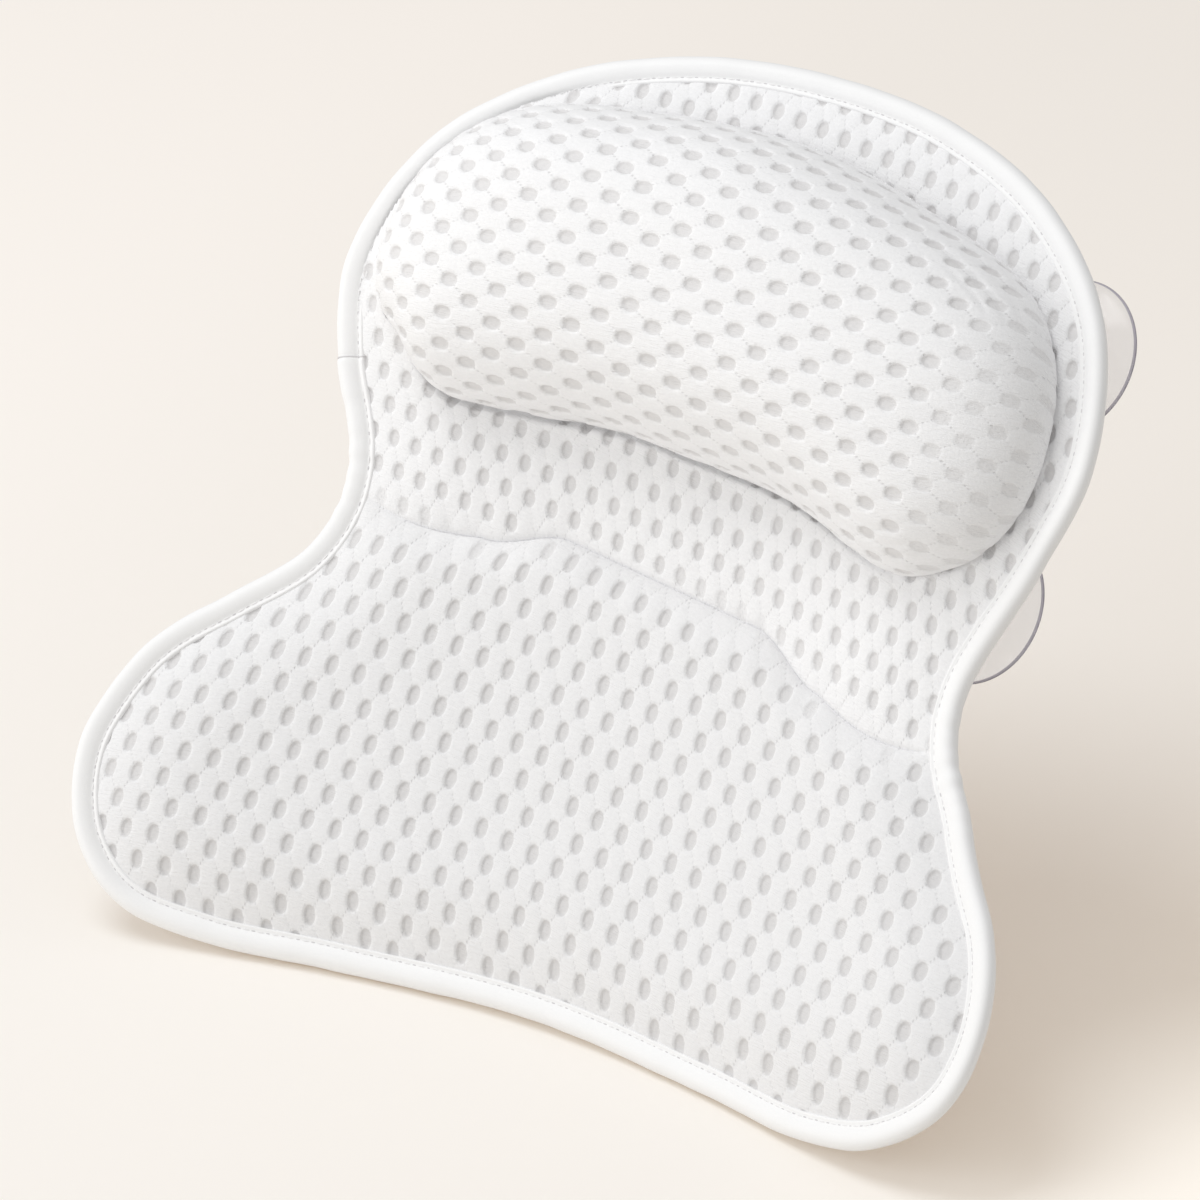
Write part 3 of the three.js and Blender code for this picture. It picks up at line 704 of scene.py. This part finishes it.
def binding():
    section = tape_section()
    lengths = np.linspace(0, EDGE_LENGTH, EDGE_COUNT, endpoint=False)
    past = (lengths - lengths[lap_index()]) % EDGE_LENGTH
    raised = LAP_RISE * smoothstep(past, 0, LAP_EDGE)
    raised = raised * (1 - smoothstep(past, LAP_LENGTH, LAP_LENGTH + LAP_FADE))
    from_lap = (past + LAP_BEFORE) % EDGE_LENGTH - LAP_BEFORE
    raised = raised - LAP_GROOVE * np.exp(-((from_lap / LAP_EDGE) ** 2))
    soft = SOFTNESS * ripples(lengths, *SOFT_WAVES)
    from_seam = np.abs(EDGE[:, 1] - seam_height(EDGE[:, 0]))
    soft += GATHER * ripples(lengths, *GATHER_WAVES) * np.exp(-((from_seam / GATHER_REACH) ** 2))
    grow = (1 + (raised + soft) / TAPE_RADIUS)[:, None]
    inset = TAPE_RADIUS + (section[:, 0] - TAPE_RADIUS) * grow
    inset = np.where(section[:, 0] > TAPE_RADIUS, section[:, 0], inset)
    height = section[:, 1] * grow
    flat = EDGE[:, None, :] + inset[..., None] * EDGE_INWARDS[:, None, :]
    points = to_world(flat[..., 0], flat[..., 1], height)
    count = len(section)
    index = np.arange(EDGE_COUNT * count).reshape(EDGE_COUNT, count)
    nexts = np.roll(index, -1, axis=0)
    a, b = index, np.roll(index, -1, axis=1)
    c, d = np.roll(nexts, -1, axis=1), nexts
    faces = np.stack([a.ravel(), d.ravel(), c.ravel(), b.ravel()], axis=1)
    return mesh_object("edge_binding", points.reshape(-1, 3), faces)


STITCH_PITCH = 5.6
STITCH_LENGTH = 3.6
NEEDLE_LENGTH = 2.4
STITCH_RADIUS = 0.34
STITCH_INSET = 8.3
STITCH_HEIGHT = 3.12
STITCH_SIDES = 6
STITCH_RINGS = 5
STITCH_TAPER = 0.92
STITCH_BEND = 0.25
NEEDLE_SINK = 0.1


def binding_stitches():
    """Short threads along the tape's inner edge, on both faces, and painted shade at the holes between
    them.
    """
    count = 2 * int(EDGE_LENGTH / STITCH_PITCH)
    line = evenly(EDGE, count)
    along, inwards = edge_directions(line)
    # Every other piece is a dark sunk one: painted shade for a stitch hole
    gap_shade = np.arange(count) % 2 == 1
    half = np.where(gap_shade, NEEDLE_LENGTH, STITCH_LENGTH) / 2
    rings = np.linspace(-1, 1, STITCH_RINGS)
    swell = np.sqrt(1 - STITCH_TAPER * rings**2)
    angle = np.arange(STITCH_SIDES) * 2 * math.pi / STITCH_SIDES
    centre = line + STITCH_INSET * inwards
    run = rings[None, :, None] * half[:, None, None]
    reach = (swell[:, None] * np.cos(angle)[None, :])[None] * STITCH_RADIUS
    rise = (swell[:, None] * np.sin(angle)[None, :])[None] * STITCH_RADIUS
    x, v = (
        centre[:, i, None, None] + run * along[:, i, None, None] + reach * inwards[:, i, None, None]
        for i in (0, 1)
    )
    w = STITCH_HEIGHT + rise - STITCH_BEND * (rings**2)[None, :, None]
    w = w - NEEDLE_SINK * gap_shade[:, None, None]
    points = np.vstack([to_world(x, v, sign * w).reshape(-1, 3) for sign in (1, -1)])
    block = STITCH_RINGS * STITCH_SIDES
    base = grid_faces(STITCH_RINGS, STITCH_SIDES, wrap=True)
    faces = (np.arange(2 * count)[:, None, None] * block + base[None]).reshape(-1, 4)
    stitches = mesh_object("binding_stitches", points, faces)
    slots = np.repeat(np.r_[gap_shade, gap_shade].astype(np.int32), len(base))
    return stitches, slots


LAP_THREAD_RADIUS = 0.24


def lap_stitches():
    """The thread that closes the tape's lap, over its outer edge and front."""
    lap = lap_index()
    section = tape_section()
    section = section[section[:, 1] > -TAPE_RADIUS / 2]
    line = EDGE[lap] + section[:, :1] * EDGE_INWARDS[lap]
    centre = to_world(line[:, 0], line[:, 1], section[:, 1])
    ends = EDGE[[lap - 1, lap + 1]]
    along = np.diff(to_world(ends[:, 0], ends[:, 1], 0.0), axis=0)
    along /= np.linalg.norm(along)
    out = np.cross(along, np.gradient(centre, axis=0))
    out /= np.linalg.norm(out, axis=1)[:, None]
    angle = np.arange(STITCH_SIDES) * 2 * math.pi / STITCH_SIDES
    ring = np.cos(angle)[None, :, None] * along[None] + np.sin(angle)[None, :, None] * out[:, None]
    points = centre[:, None] + LAP_THREAD_RADIUS * MM * ring
    faces = grid_faces(len(centre), STITCH_SIDES, wrap=True)
    return mesh_object("lap_stitches", points.reshape(-1, 3), faces)


# Suction cups and eyelets, turned about the local normal of the back sheet
CUP_RADIUS = 28.5
CUP_RIM_WIDTH = 2.5
CUP_LIP = 0.9
CUP_RIM_SHADE = 0.7
CUP_HOLLOW = 9.0
CUP_DOME = 13.0
CUP_REACH = 25.0
BOSS_RADIUS = 7.0
NECK_RADIUS = 4.2
KNOB_RADIUS = 6.5
EYELET_RADIUS = 10.0
EYELET_FLANGE = 1.2
CLEARANCE = 0.3
SHEET_THICKNESS = 2.85
LATHE_STEPS = 96
CORNER_CUT = 0.2
CORNER_CUTS = 2

# Profiles, as radius and height: shares of the cup's hollow and of its dome, and small bevels in mm
HOLLOW_SHARES = [(0, 1), (0.35, 0.9), (0.65, 0.62), (0.86, 0.27)]
DOME_PLACES = [(CUP_RADIUS * 0.86, 0.3), (CUP_RADIUS * 0.62, 0.68), (BOSS_RADIUS * 1.25, 0.93)]
RIM_STEP = 0.05
RIM_BEVEL = (0.4, 0.3)
KNOB_EDGE = 1.4
KNOB_CROWN = (0.6, 3.4)
KNOB_HEIGHT = 4
EYELET_PLAY = 0.35
BORE_BEVEL = 0.3
FLANGE_ROUND = [(0.8, 0), (0.2, 0.25), (0, 0.7)]


def smooth_profile(points):
    """Cuts a profile's corners a little, twice over."""
    points = np.array(points, float)
    for _ in range(CORNER_CUTS):
        cut = [points[0]]
        for a, b in zip(points[:-1], points[1:]):
            cut.append(a * (1 - CORNER_CUT) + b * CORNER_CUT)
            cut.append(a * CORNER_CUT + b * (1 - CORNER_CUT))
        cut.append(points[-1])
        points = np.array(cut)
    return points


def lathe_object(name, profile, matrix):
    """A profile of radius and height, turned about the matrix's y axis."""
    radius, height = profile[:, 0], profile[:, 1]
    angle = np.arange(LATHE_STEPS) * 2 * math.pi / LATHE_STEPS
    x = radius[:, None] * np.cos(angle)
    z = radius[:, None] * np.sin(angle)
    y = np.broadcast_to(height[:, None], x.shape)
    local = np.stack([x, y, z], axis=2).reshape(-1, 3) * MM
    world = local @ np.array(matrix.to_3x3()).T + np.array(matrix.translation)
    obj = mesh_object(name, world, grid_faces(len(profile), LATHE_STEPS, wrap=True))
    weld(obj)
    return obj


def weld(obj):
    mesh = bmesh.new()
    mesh.from_mesh(obj.data)
    bmesh.ops.remove_doubles(mesh, verts=mesh.verts, dist=WELD_DISTANCE)
    bmesh.ops.recalc_face_normals(mesh, faces=mesh.faces)
    mesh.to_mesh(obj.data)
    mesh.free()
    obj.data.update()


def seat_matrix(joint):
    """A frame at a cup's seat on the back sheet, its y axis into the pillow."""
    into = -Vector(joint["axis"]).normalized()
    side = into.cross(Vector((0, 0, 1))).normalized()
    matrix = Matrix((side, into, side.cross(into))).transposed().to_4x4()
    matrix.translation = Vector(joint["pos_m"])
    return matrix


def cup_profile():
    face = -CUP_REACH
    stop = -EYELET_FLANGE - 2 * CLEARANCE
    knob = SHEET_THICKNESS + EYELET_FLANGE + 2 * CLEARANCE
    hollow = CUP_RADIUS - CUP_RIM_WIDTH
    lip = face + CUP_LIP
    inside = [(a * hollow, face + b * CUP_HOLLOW) for a, b in HOLLOW_SHARES]
    rim = [(hollow, face + RIM_STEP), (CUP_RADIUS - RIM_BEVEL[0], face),
           (CUP_RADIUS, face + RIM_BEVEL[1]), (CUP_RADIUS, lip)]
    back = [(radius, lip + b * CUP_DOME) for radius, b in DOME_PLACES]
    neck = [(BOSS_RADIUS, lip + CUP_DOME), (BOSS_RADIUS, stop), (NECK_RADIUS, stop),
            (NECK_RADIUS, knob), (KNOB_RADIUS, knob), (KNOB_RADIUS, knob + KNOB_EDGE),
            (KNOB_CROWN[0] * KNOB_RADIUS, knob + KNOB_CROWN[1]), (0, knob + KNOB_HEIGHT)]
    return smooth_profile(inside + rim + back + neck)


def eyelet_profile():
    bore = NECK_RADIUS + EYELET_PLAY
    low = -CLEARANCE - EYELET_FLANGE
    high = -CLEARANCE
    inner = [(bore, high), (bore, low + BORE_BEVEL), (bore + BORE_BEVEL, low)]
    outer = [(EYELET_RADIUS - inset, low + up) for inset, up in FLANGE_ROUND]
    return np.array(inner + outer + [(EYELET_RADIUS, high)])


# Materials
def new_material(name):
    material = bpy.data.materials.new(name)
    material.use_nodes = True
    tree = material.node_tree
    shader = tree.nodes["Principled BSDF"]
    return material, tree, shader


def math_node(tree, operation, *values):
    node = tree.nodes.new("ShaderNodeMath")
    node.operation = operation
    for socket, value in zip(node.inputs, values):
        if isinstance(value, (int, float)):
            socket.default_value = value
        else:
            tree.links.new(value, socket)
    return node.outputs[0]


def ramp(tree, value, low, high, to_low=0.0, to_high=1.0):
    node = tree.nodes.new("ShaderNodeMapRange")
    node.interpolation_type = "SMOOTHSTEP"
    tree.links.new(value, node.inputs["Value"])
    node.inputs["From Min"].default_value = low
    node.inputs["From Max"].default_value = high
    node.inputs["To Min"].default_value = to_low
    node.inputs["To Max"].default_value = to_high
    return node.outputs[0]


def mix_colour(tree, factor, a, b):
    node = tree.nodes.new("ShaderNodeMix")
    node.data_type = "RGBA"
    tree.links.new(factor, node.inputs[0])
    for socket, value in ((node.inputs[6], a), (node.inputs[7], b)):
        if isinstance(value, tuple):
            socket.default_value = (*value, 1)
        else:
            tree.links.new(value, socket)
    return node.outputs[2]


def noise(tree, scale, detail=2.0):
    coordinates = tree.nodes.new("ShaderNodeTexCoord")
    node = tree.nodes.new("ShaderNodeTexNoise")
    node.inputs["Scale"].default_value = scale
    node.inputs["Detail"].default_value = detail
    tree.links.new(coordinates.outputs["Object"], node.inputs["Vector"])
    return node.outputs["Fac"]


def bump(tree, height, distance, strength, below=None):
    node = tree.nodes.new("ShaderNodeBump")
    node.inputs["Strength"].default_value = strength
    node.inputs["Distance"].default_value = distance
    tree.links.new(height, node.inputs["Height"])
    if below is not None:
        tree.links.new(below, node.inputs["Normal"])
    return node.outputs[0]


# Colours of the knit, and those of other materials from their darkest to their lightest shade
KNIT = (0.89, 0.888, 0.895)
KNIT_LIGHT = (0.912, 0.91, 0.917)
KNIT_SHADE = (0.74, 0.735, 0.74)
# Painted shade: the padding seen through a hole is drawn darker than the knit, for the shade inside the
# hole
SHADED_HOLE_FLOOR = (0.755, 0.745, 0.745)
# Painted light and shade: the one knit is drawn a little darker on the shoulders and a little lighter
# on the bolster than on the head, for how the light falls on them
HEAD_TONE = 1.0
SHOULDER_PAINTED_SHADE = 0.945
BOLSTER_PAINTED_LIGHT = 1.02
SATIN = ((0.90, 0.90, 0.90), (0.93, 0.93, 0.93))
WHITE_THREAD = ((0.80, 0.79, 0.79), (0.9, 0.9, 0.9))
LAP_THREAD = ((0.7, 0.69, 0.7), (0.78, 0.77, 0.78))
# Painted shade: the dark pieces between the stitches stand for the shade in the stitch holes
NEEDLE_HOLE_SHADE = ((0.62, 0.61, 0.62), (0.7, 0.69, 0.7))
CLEAR_VINYL = ((0.93, 0.93, 0.95), (0.97, 0.97, 0.98))
# The cup's rim: partly the thick vinyl's own tint, partly painted shade for the light that the thick
# clear rim bends away
RIM_VINYL_PAINTED_SHADE = ((0.42, 0.40, 0.47), (0.5, 0.48, 0.55))
WHITE_PLASTIC = ((0.86, 0.86, 0.85), (0.9, 0.9, 0.89))

# The painted knit: soft edges of its holes, and lines of fine dots from hole to hole. Strokes say
# how often the knit's ribs repeat along the lattice's two directions.
HOLE_EDGE = (0.86, 1.02)
DOTS_PER_LINK = 7.0
DOT_LINE = (0.015, 0.045)
DOT_SIZE = (0.1, 0.3)
DOT_WEIGHTS = (0.9, 0.6)
DOT_STRENGTH = 0.8
DOT_BREAKS = 130.0
DOT_BREAK_EDGE = (0.38, 0.62)
DOT_BREAK_LEVELS = (0.4, 1.0)
GRAIN = (900.0, 3.0)
GRAIN_EDGE = (0.35, 0.65)
ALONG_ROWS = (3.0, 42.0, 1.0)
ALONG_COLUMNS = (24.0, 5.0, 1.0)

# Bumps: depth in metres, and strength
GRAIN_BUMP = (0.0004, 0.35)
RIB_BUMP = (0.0007, 0.5)
DOT_BUMP = (0.0003, 0.6)
SATIN_BUMP = (0.0002, 0.25)


def lattice_offset(tree, place):
    """How far a lattice coordinate lies from the nearest whole number."""
    return math_node(tree, "WRAP", place, 0.5, -0.5)


def hole_distance(tree, s, t, terms):
    """Distance to the nearest hole, in shares of the hole's size, as in nearest_hole."""
    distances = []
    for shift in (0.0, 0.5):
        ds, dt = (lattice_offset(tree, math_node(tree, "ADD", place, shift)) for place in (s, t))
        squares = []
        for by_s, by_t in hole_scales(terms):
            from_s = math_node(tree, "MULTIPLY", ds, by_s)
            from_t = math_node(tree, "MULTIPLY", dt, by_t)
            part = math_node(tree, "ADD", from_s, from_t)
            squares.append(math_node(tree, "MULTIPLY", part, part))
        distances.append(math_node(tree, "SQRT", math_node(tree, "ADD", *squares)))
    return math_node(tree, "MINIMUM", *distances)


def perforation_dots(tree, s, t, hole):
    """Lines of fine dots between the holes, broken up here and there."""
    p = math_node(tree, "ADD", s, t)
    q = math_node(tree, "SUBTRACT", s, t)
    dots = []
    for (line, run), weight in zip(((p, q), (q, p)), DOT_WEIGHTS):
        off = math_node(tree, "ABSOLUTE", lattice_offset(tree, line))
        thin = ramp(tree, off, *DOT_LINE, 1.0, 0.0)
        beat = lattice_offset(tree, math_node(tree, "MULTIPLY", run, DOTS_PER_LINK))
        beat = math_node(tree, "ABSOLUTE", beat)
        dots.append(math_node(tree, "MULTIPLY", thin, ramp(tree, beat, *DOT_SIZE, weight, 0.0)))
    on_knit = math_node(tree, "SUBTRACT", 1.0, hole)
    dots = math_node(tree, "MULTIPLY", math_node(tree, "MAXIMUM", *dots), on_knit)
    broken = ramp(tree, noise(tree, DOT_BREAKS), *DOT_BREAK_EDGE, *DOT_BREAK_LEVELS)
    return math_node(tree, "MULTIPLY", dots, broken)


def knit_ribs(tree, uv, strokes):
    """Noise that is drawn out along the knit's ribs."""
    stretch = tree.nodes.new("ShaderNodeVectorMath")
    stretch.operation = "MULTIPLY"
    tree.links.new(uv.outputs[0], stretch.inputs[0])
    stretch.inputs[1].default_value = strokes
    ribs = tree.nodes.new("ShaderNodeTexNoise")
    ribs.inputs["Scale"].default_value = 1.0
    ribs.inputs["Detail"].default_value = 2.0
    tree.links.new(stretch.outputs[0], ribs.inputs["Vector"])
    return ribs.outputs["Fac"]


def air_mesh_material(name, terms, strokes, painted_light_tone):
    """The knit of one sheet. A hole's floor is the padding behind it, darker as painted shade."""
    # Painted light and shade: every colour of this sheet's knit is scaled by its level
    def with_painted_light(colour):
        return tuple(painted_light_tone * channel for channel in colour)

    material, tree, shader = new_material(name)
    uv = tree.nodes.new("ShaderNodeUVMap")
    uv.uv_map = "fabric"
    split = tree.nodes.new("ShaderNodeSeparateXYZ")
    tree.links.new(uv.outputs[0], split.inputs[0])
    s, t = split.outputs[0], split.outputs[1]
    opening = tree.nodes.new("ShaderNodeAttribute")
    opening.attribute_name = "open"
    hole = ramp(tree, hole_distance(tree, s, t, terms), *HOLE_EDGE, 1.0, 0.0)
    hole = math_node(tree, "MULTIPLY", hole, opening.outputs["Fac"])
    dots = perforation_dots(tree, s, t, hole)
    grain = noise(tree, *GRAIN)
    knit = mix_colour(tree, ramp(tree, grain, *GRAIN_EDGE), with_painted_light(KNIT), with_painted_light(KNIT_LIGHT))
    shade = math_node(tree, "MULTIPLY", dots, DOT_STRENGTH)
    knit = mix_colour(tree, shade, knit, with_painted_light(KNIT_SHADE))
    # Painted shade: the holes mix in the darker floor colour
    tree.links.new(mix_colour(tree, hole, knit, with_painted_light(SHADED_HOLE_FLOOR)), shader.inputs["Base Color"])
    fine = bump(tree, grain, *GRAIN_BUMP)
    fine = bump(tree, knit_ribs(tree, uv, strokes), *RIB_BUMP, fine)
    fine = bump(tree, math_node(tree, "SUBTRACT", 1.0, dots), *DOT_BUMP, fine)
    tree.links.new(fine, shader.inputs["Normal"])
    shader.inputs["Roughness"].default_value = 0.92
    shader.inputs["Sheen Weight"].default_value = 0.12
    shader.inputs["Sheen Roughness"].default_value = 0.5
    return material


def shaded_material(name, shades, scale, roughness, detail=1.0):
    """A material between two shades of a colour. Also gives its noise."""
    material, tree, shader = new_material(name)
    grain = noise(tree, scale, detail)
    tree.links.new(mix_colour(tree, grain, *shades), shader.inputs["Base Color"])
    shader.inputs["Roughness"].default_value = roughness
    return material, tree, shader, grain


def binding_material():
    material, tree, shader, grain = shaded_material("satin_tape", SATIN, 1600.0, 0.55, detail=2.0)
    tree.links.new(bump(tree, grain, *SATIN_BUMP), shader.inputs["Normal"])
    shader.inputs["Sheen Weight"].default_value = 0.15
    return material


def thread_material(name, shades):
    return shaded_material(name, shades, 3000.0, 0.6)[0]


def vinyl_material(name, shades, clear):
    material, _, shader, _ = shaded_material(name, shades, 40.0, 0.12)
    shader.inputs["Transmission Weight"].default_value = clear
    shader.inputs["IOR"].default_value = 1.42
    return material


def plastic_material():
    return shaded_material("white_plastic", WHITE_PLASTIC, 300.0, 0.35)[0]


def paint(obj, *materials):
    obj.data.materials.clear()
    for material in materials:
        obj.data.materials.append(material)


# The pieces: how clear the cups and their rims are
CUP_CLEAR_SHARE = 0.9
RIM_CLEAR_SHARE = 0.3


def across_fold(obj):
    """Bakes the piece's place into its mesh."""
    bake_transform(obj)


def build_covers():
    materials = {
        "head": air_mesh_material("air_mesh_head", HEAD_KNIT, ALONG_ROWS, HEAD_TONE),
        "shoulder": air_mesh_material("air_mesh_shoulder", SHOULDER_KNIT, ALONG_ROWS, SHOULDER_PAINTED_SHADE),
    }
    for face, height, side, step in (
        ("front", sheet_height, 1, FRONT_STEP), ("back", back_height, -1, BACK_STEP),
    ):
        for part, terms, sign in (("head", HEAD_KNIT, 1), ("shoulder", SHOULDER_KNIT, -1)):
            obj = panel_sheet(f"{part}_{face}_cover", terms, height, side, sign, step)
            paint(obj, materials[part])
            across_fold(obj)
            nodes = [f"{part}_{face}_mesh"]
            if face == "front":
                nodes.append(f"{part}_padding")
            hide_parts(*nodes)


def build_bolster():
    cover = bolster_cover()
    paint(cover, air_mesh_material("air_mesh_bolster", BOLSTER_KNIT, ALONG_COLUMNS, BOLSTER_PAINTED_LIGHT))
    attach(cover, "head")
    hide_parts("bolster_cover", "bolster_fill")


def build_binding():
    tape = binding()
    paint(tape, binding_material())
    across_fold(tape)
    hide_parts("head_binding", "shoulder_binding")
    stitches, slots = binding_stitches()
    gap_shade = thread_material("needle_hole_shade", NEEDLE_HOLE_SHADE)
    paint(stitches, thread_material("white_thread", WHITE_THREAD), gap_shade)
    stitches.data.polygons.foreach_set("material_index", slots)
    across_fold(stitches)
    lap = lap_stitches()
    paint(lap, thread_material("lap_thread", LAP_THREAD))
    across_fold(lap)


def rim_faces(cup, matrix):
    """1 for each face of the cup's thick rim, drawn darker partly as painted shade, and 0 elsewhere."""
    centres = np.array([face.center for face in cup.data.polygons])
    offset = centres - np.array(matrix.translation)
    into = np.array(matrix.col[1][:3])
    height = offset @ into
    radius = np.linalg.norm(offset - height[:, None] * into, axis=1)
    return (radius > (CUP_RADIUS - CUP_RIM_SHADE) * MM).astype(np.int32)


def build_cups():
    vinyl = vinyl_material("clear_vinyl", CLEAR_VINYL, CUP_CLEAR_SHARE)
    # Painted shade, in part: the rim's darker vinyl
    rim = vinyl_material("vinyl_rim_painted_shade", RIM_VINYL_PAINTED_SHADE, RIM_CLEAR_SHARE)
    plastic = plastic_material()
    for joint in frame["joints"]:
        if not joint["name"].startswith("cup_"):
            continue
        site = joint["name"].removeprefix("cup_").removesuffix("_turn")
        matrix = seat_matrix(joint)
        cup = lathe_object(f"cup_{site}_vinyl", cup_profile(), matrix)
        paint(cup, vinyl, rim)
        cup.data.polygons.foreach_set("material_index", rim_faces(cup, matrix))
        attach(cup, joint["child"])
        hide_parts(f"suction_cup_{site}")
        ring = lathe_object(f"eyelet_{site}_ring", eyelet_profile(), matrix)
        paint(ring, plastic)
        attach(ring, joint["parent"])
        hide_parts(f"eyelet_{site}")


# Camera at the photograph's angle, fitted to the outline in its frame of 1200 pixels
AZIMUTH = math.radians(32.51)
ELEVATION = math.radians(28.87)
IMAGE_SIZE = 1200
FOCAL_PIXELS = 10000
DISTANCE = 3.576
ORIGIN_PIXEL = (664.84, 610.30)
SENSOR = 36.0
CLIP_END = 50


def build_camera():
    right = np.array([math.cos(AZIMUTH), math.sin(AZIMUTH), 0])
    towards = np.array([
        math.sin(AZIMUTH) * math.cos(ELEVATION), -math.cos(AZIMUTH) * math.cos(ELEVATION),
        math.sin(ELEVATION),
    ])
    up = np.cross(towards, right)
    across = (ORIGIN_PIXEL[0] - IMAGE_SIZE / 2) / FOCAL_PIXELS
    down = (ORIGIN_PIXEL[1] - IMAGE_SIZE / 2) / FOCAL_PIXELS
    place = ORIGIN + DISTANCE * (towards - across * right + down * up)
    data = bpy.data.cameras.new("camera")
    data.sensor_width = SENSOR
    data.lens = SENSOR * FOCAL_PIXELS / IMAGE_SIZE
    data.clip_end = CLIP_END
    camera = bpy.data.objects.new("camera", data)
    matrix = Matrix((right, up, towards)).transposed().to_4x4()
    matrix.translation = Vector(place)
    camera.matrix_world = matrix
    bpy.context.scene.collection.objects.link(camera)
    bpy.context.scene.camera = camera


# Stage: a cream floor, and soft light from the upper left. Rays from the camera see the floor a
# little brighter than it is, so that its shadows stay as soft as they are in the photograph.
CREAM = (0.90, 0.855, 0.79)
CAMERA_CREAM = (0.79, 0.845, 0.875)
# Painted light: for rays from the camera the floor is drawn lighter towards the left, to offset the
# lamps' falloff, and lighter towards the right, where it lifts the pillow's shadow
PAINTED_LIGHT_CREAM_LEFT = (0.825, 0.875, 0.905)
PAINTED_LIGHT_CREAM_RIGHT = (0.96, 1.0, 1.0)
CAMERA_GLOW = (0.185, 0.09, 0.01)
PAINTED_LIGHT_LEFT = (-0.5, -0.24)
PAINTED_LIGHT_RIGHT = (0.09, 0.27)
FLOOR_HALF = 6.0
FLOOR_GAP = 0.0005
# Lamps: place and size in metres, and power
KEY = ((-0.9, -0.3, 2.2), 1.4, 18.0)
FILL = ((-1.8, -2.4, 1.1), 2.3, 30.5)
WORLD_STRENGTH = 0.55


def floor_material():
    material, tree, shader = new_material("cream_floor")
    seen = tree.nodes.new("ShaderNodeBsdfPrincipled")
    for matt in (shader, seen):
        matt.inputs["Roughness"].default_value = 1.0
        matt.inputs["Specular IOR Level"].default_value = 0.0
    shader.inputs["Base Color"].default_value = (*CREAM, 1)
    place = tree.nodes.new("ShaderNodeTexCoord")
    apart = tree.nodes.new("ShaderNodeSeparateXYZ")
    tree.links.new(place.outputs["Object"], apart.inputs[0])
    # Painted light: a lighter floor towards the left and towards the right
    left = ramp(tree, apart.outputs[0], *PAINTED_LIGHT_LEFT)
    right = ramp(tree, apart.outputs[0], *PAINTED_LIGHT_RIGHT)
    cream = mix_colour(tree, left, PAINTED_LIGHT_CREAM_LEFT, CAMERA_CREAM)
    tree.links.new(mix_colour(tree, right, cream, PAINTED_LIGHT_CREAM_RIGHT), seen.inputs["Base Color"])
    seen.inputs["Emission Color"].default_value = (*CAMERA_GLOW, 1)
    seen.inputs["Emission Strength"].default_value = 1.0
    path = tree.nodes.new("ShaderNodeLightPath")
    rays = math_node(tree, "MAXIMUM", path.outputs["Is Camera Ray"], path.outputs["Is Glossy Ray"])
    rays = math_node(tree, "MAXIMUM", rays, path.outputs["Is Transmission Ray"])
    mix = tree.nodes.new("ShaderNodeMixShader")
    tree.links.new(rays, mix.inputs[0])
    tree.links.new(shader.outputs[0], mix.inputs[1])
    tree.links.new(seen.outputs[0], mix.inputs[2])
    tree.links.new(mix.outputs[0], tree.nodes["Material Output"].inputs["Surface"])
    return material


def build_stage():
    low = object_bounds()[0][2] - FLOOR_GAP
    corners = ((-1, -1), (1, -1), (1, 1), (-1, 1))
    points = [(a * FLOOR_HALF, b * FLOOR_HALF, low) for a, b in corners]
    floor = mesh_object("floor", points, [(0, 1, 2, 3)], smooth=False)
    paint(floor, floor_material())


def area_light(name, place, size, power):
    data = bpy.data.lights.new(name, "AREA")
    data.shape = "DISK"
    data.size = size
    data.energy = power
    light = bpy.data.objects.new(name, data)
    light.location = place
    aim = Vector(ORIGIN) - Vector(place)
    light.rotation_euler = aim.to_track_quat("-Z", "Y").to_euler()
    bpy.context.scene.collection.objects.link(light)


def build_lights():
    area_light("key", *KEY)
    area_light("fill", *FILL)
    world = bpy.data.worlds.new("studio")
    world.use_nodes = True
    background = world.node_tree.nodes["Background"]
    background.inputs["Color"].default_value = (1.0, 1.0, 1.0, 1)
    background.inputs["Strength"].default_value = WORLD_STRENGTH
    bpy.context.scene.world = world
    bpy.context.scene.view_settings.view_transform = "Standard"


build_covers()
build_bolster()
build_binding()
build_cups()
build_camera()
build_stage()
build_lights()
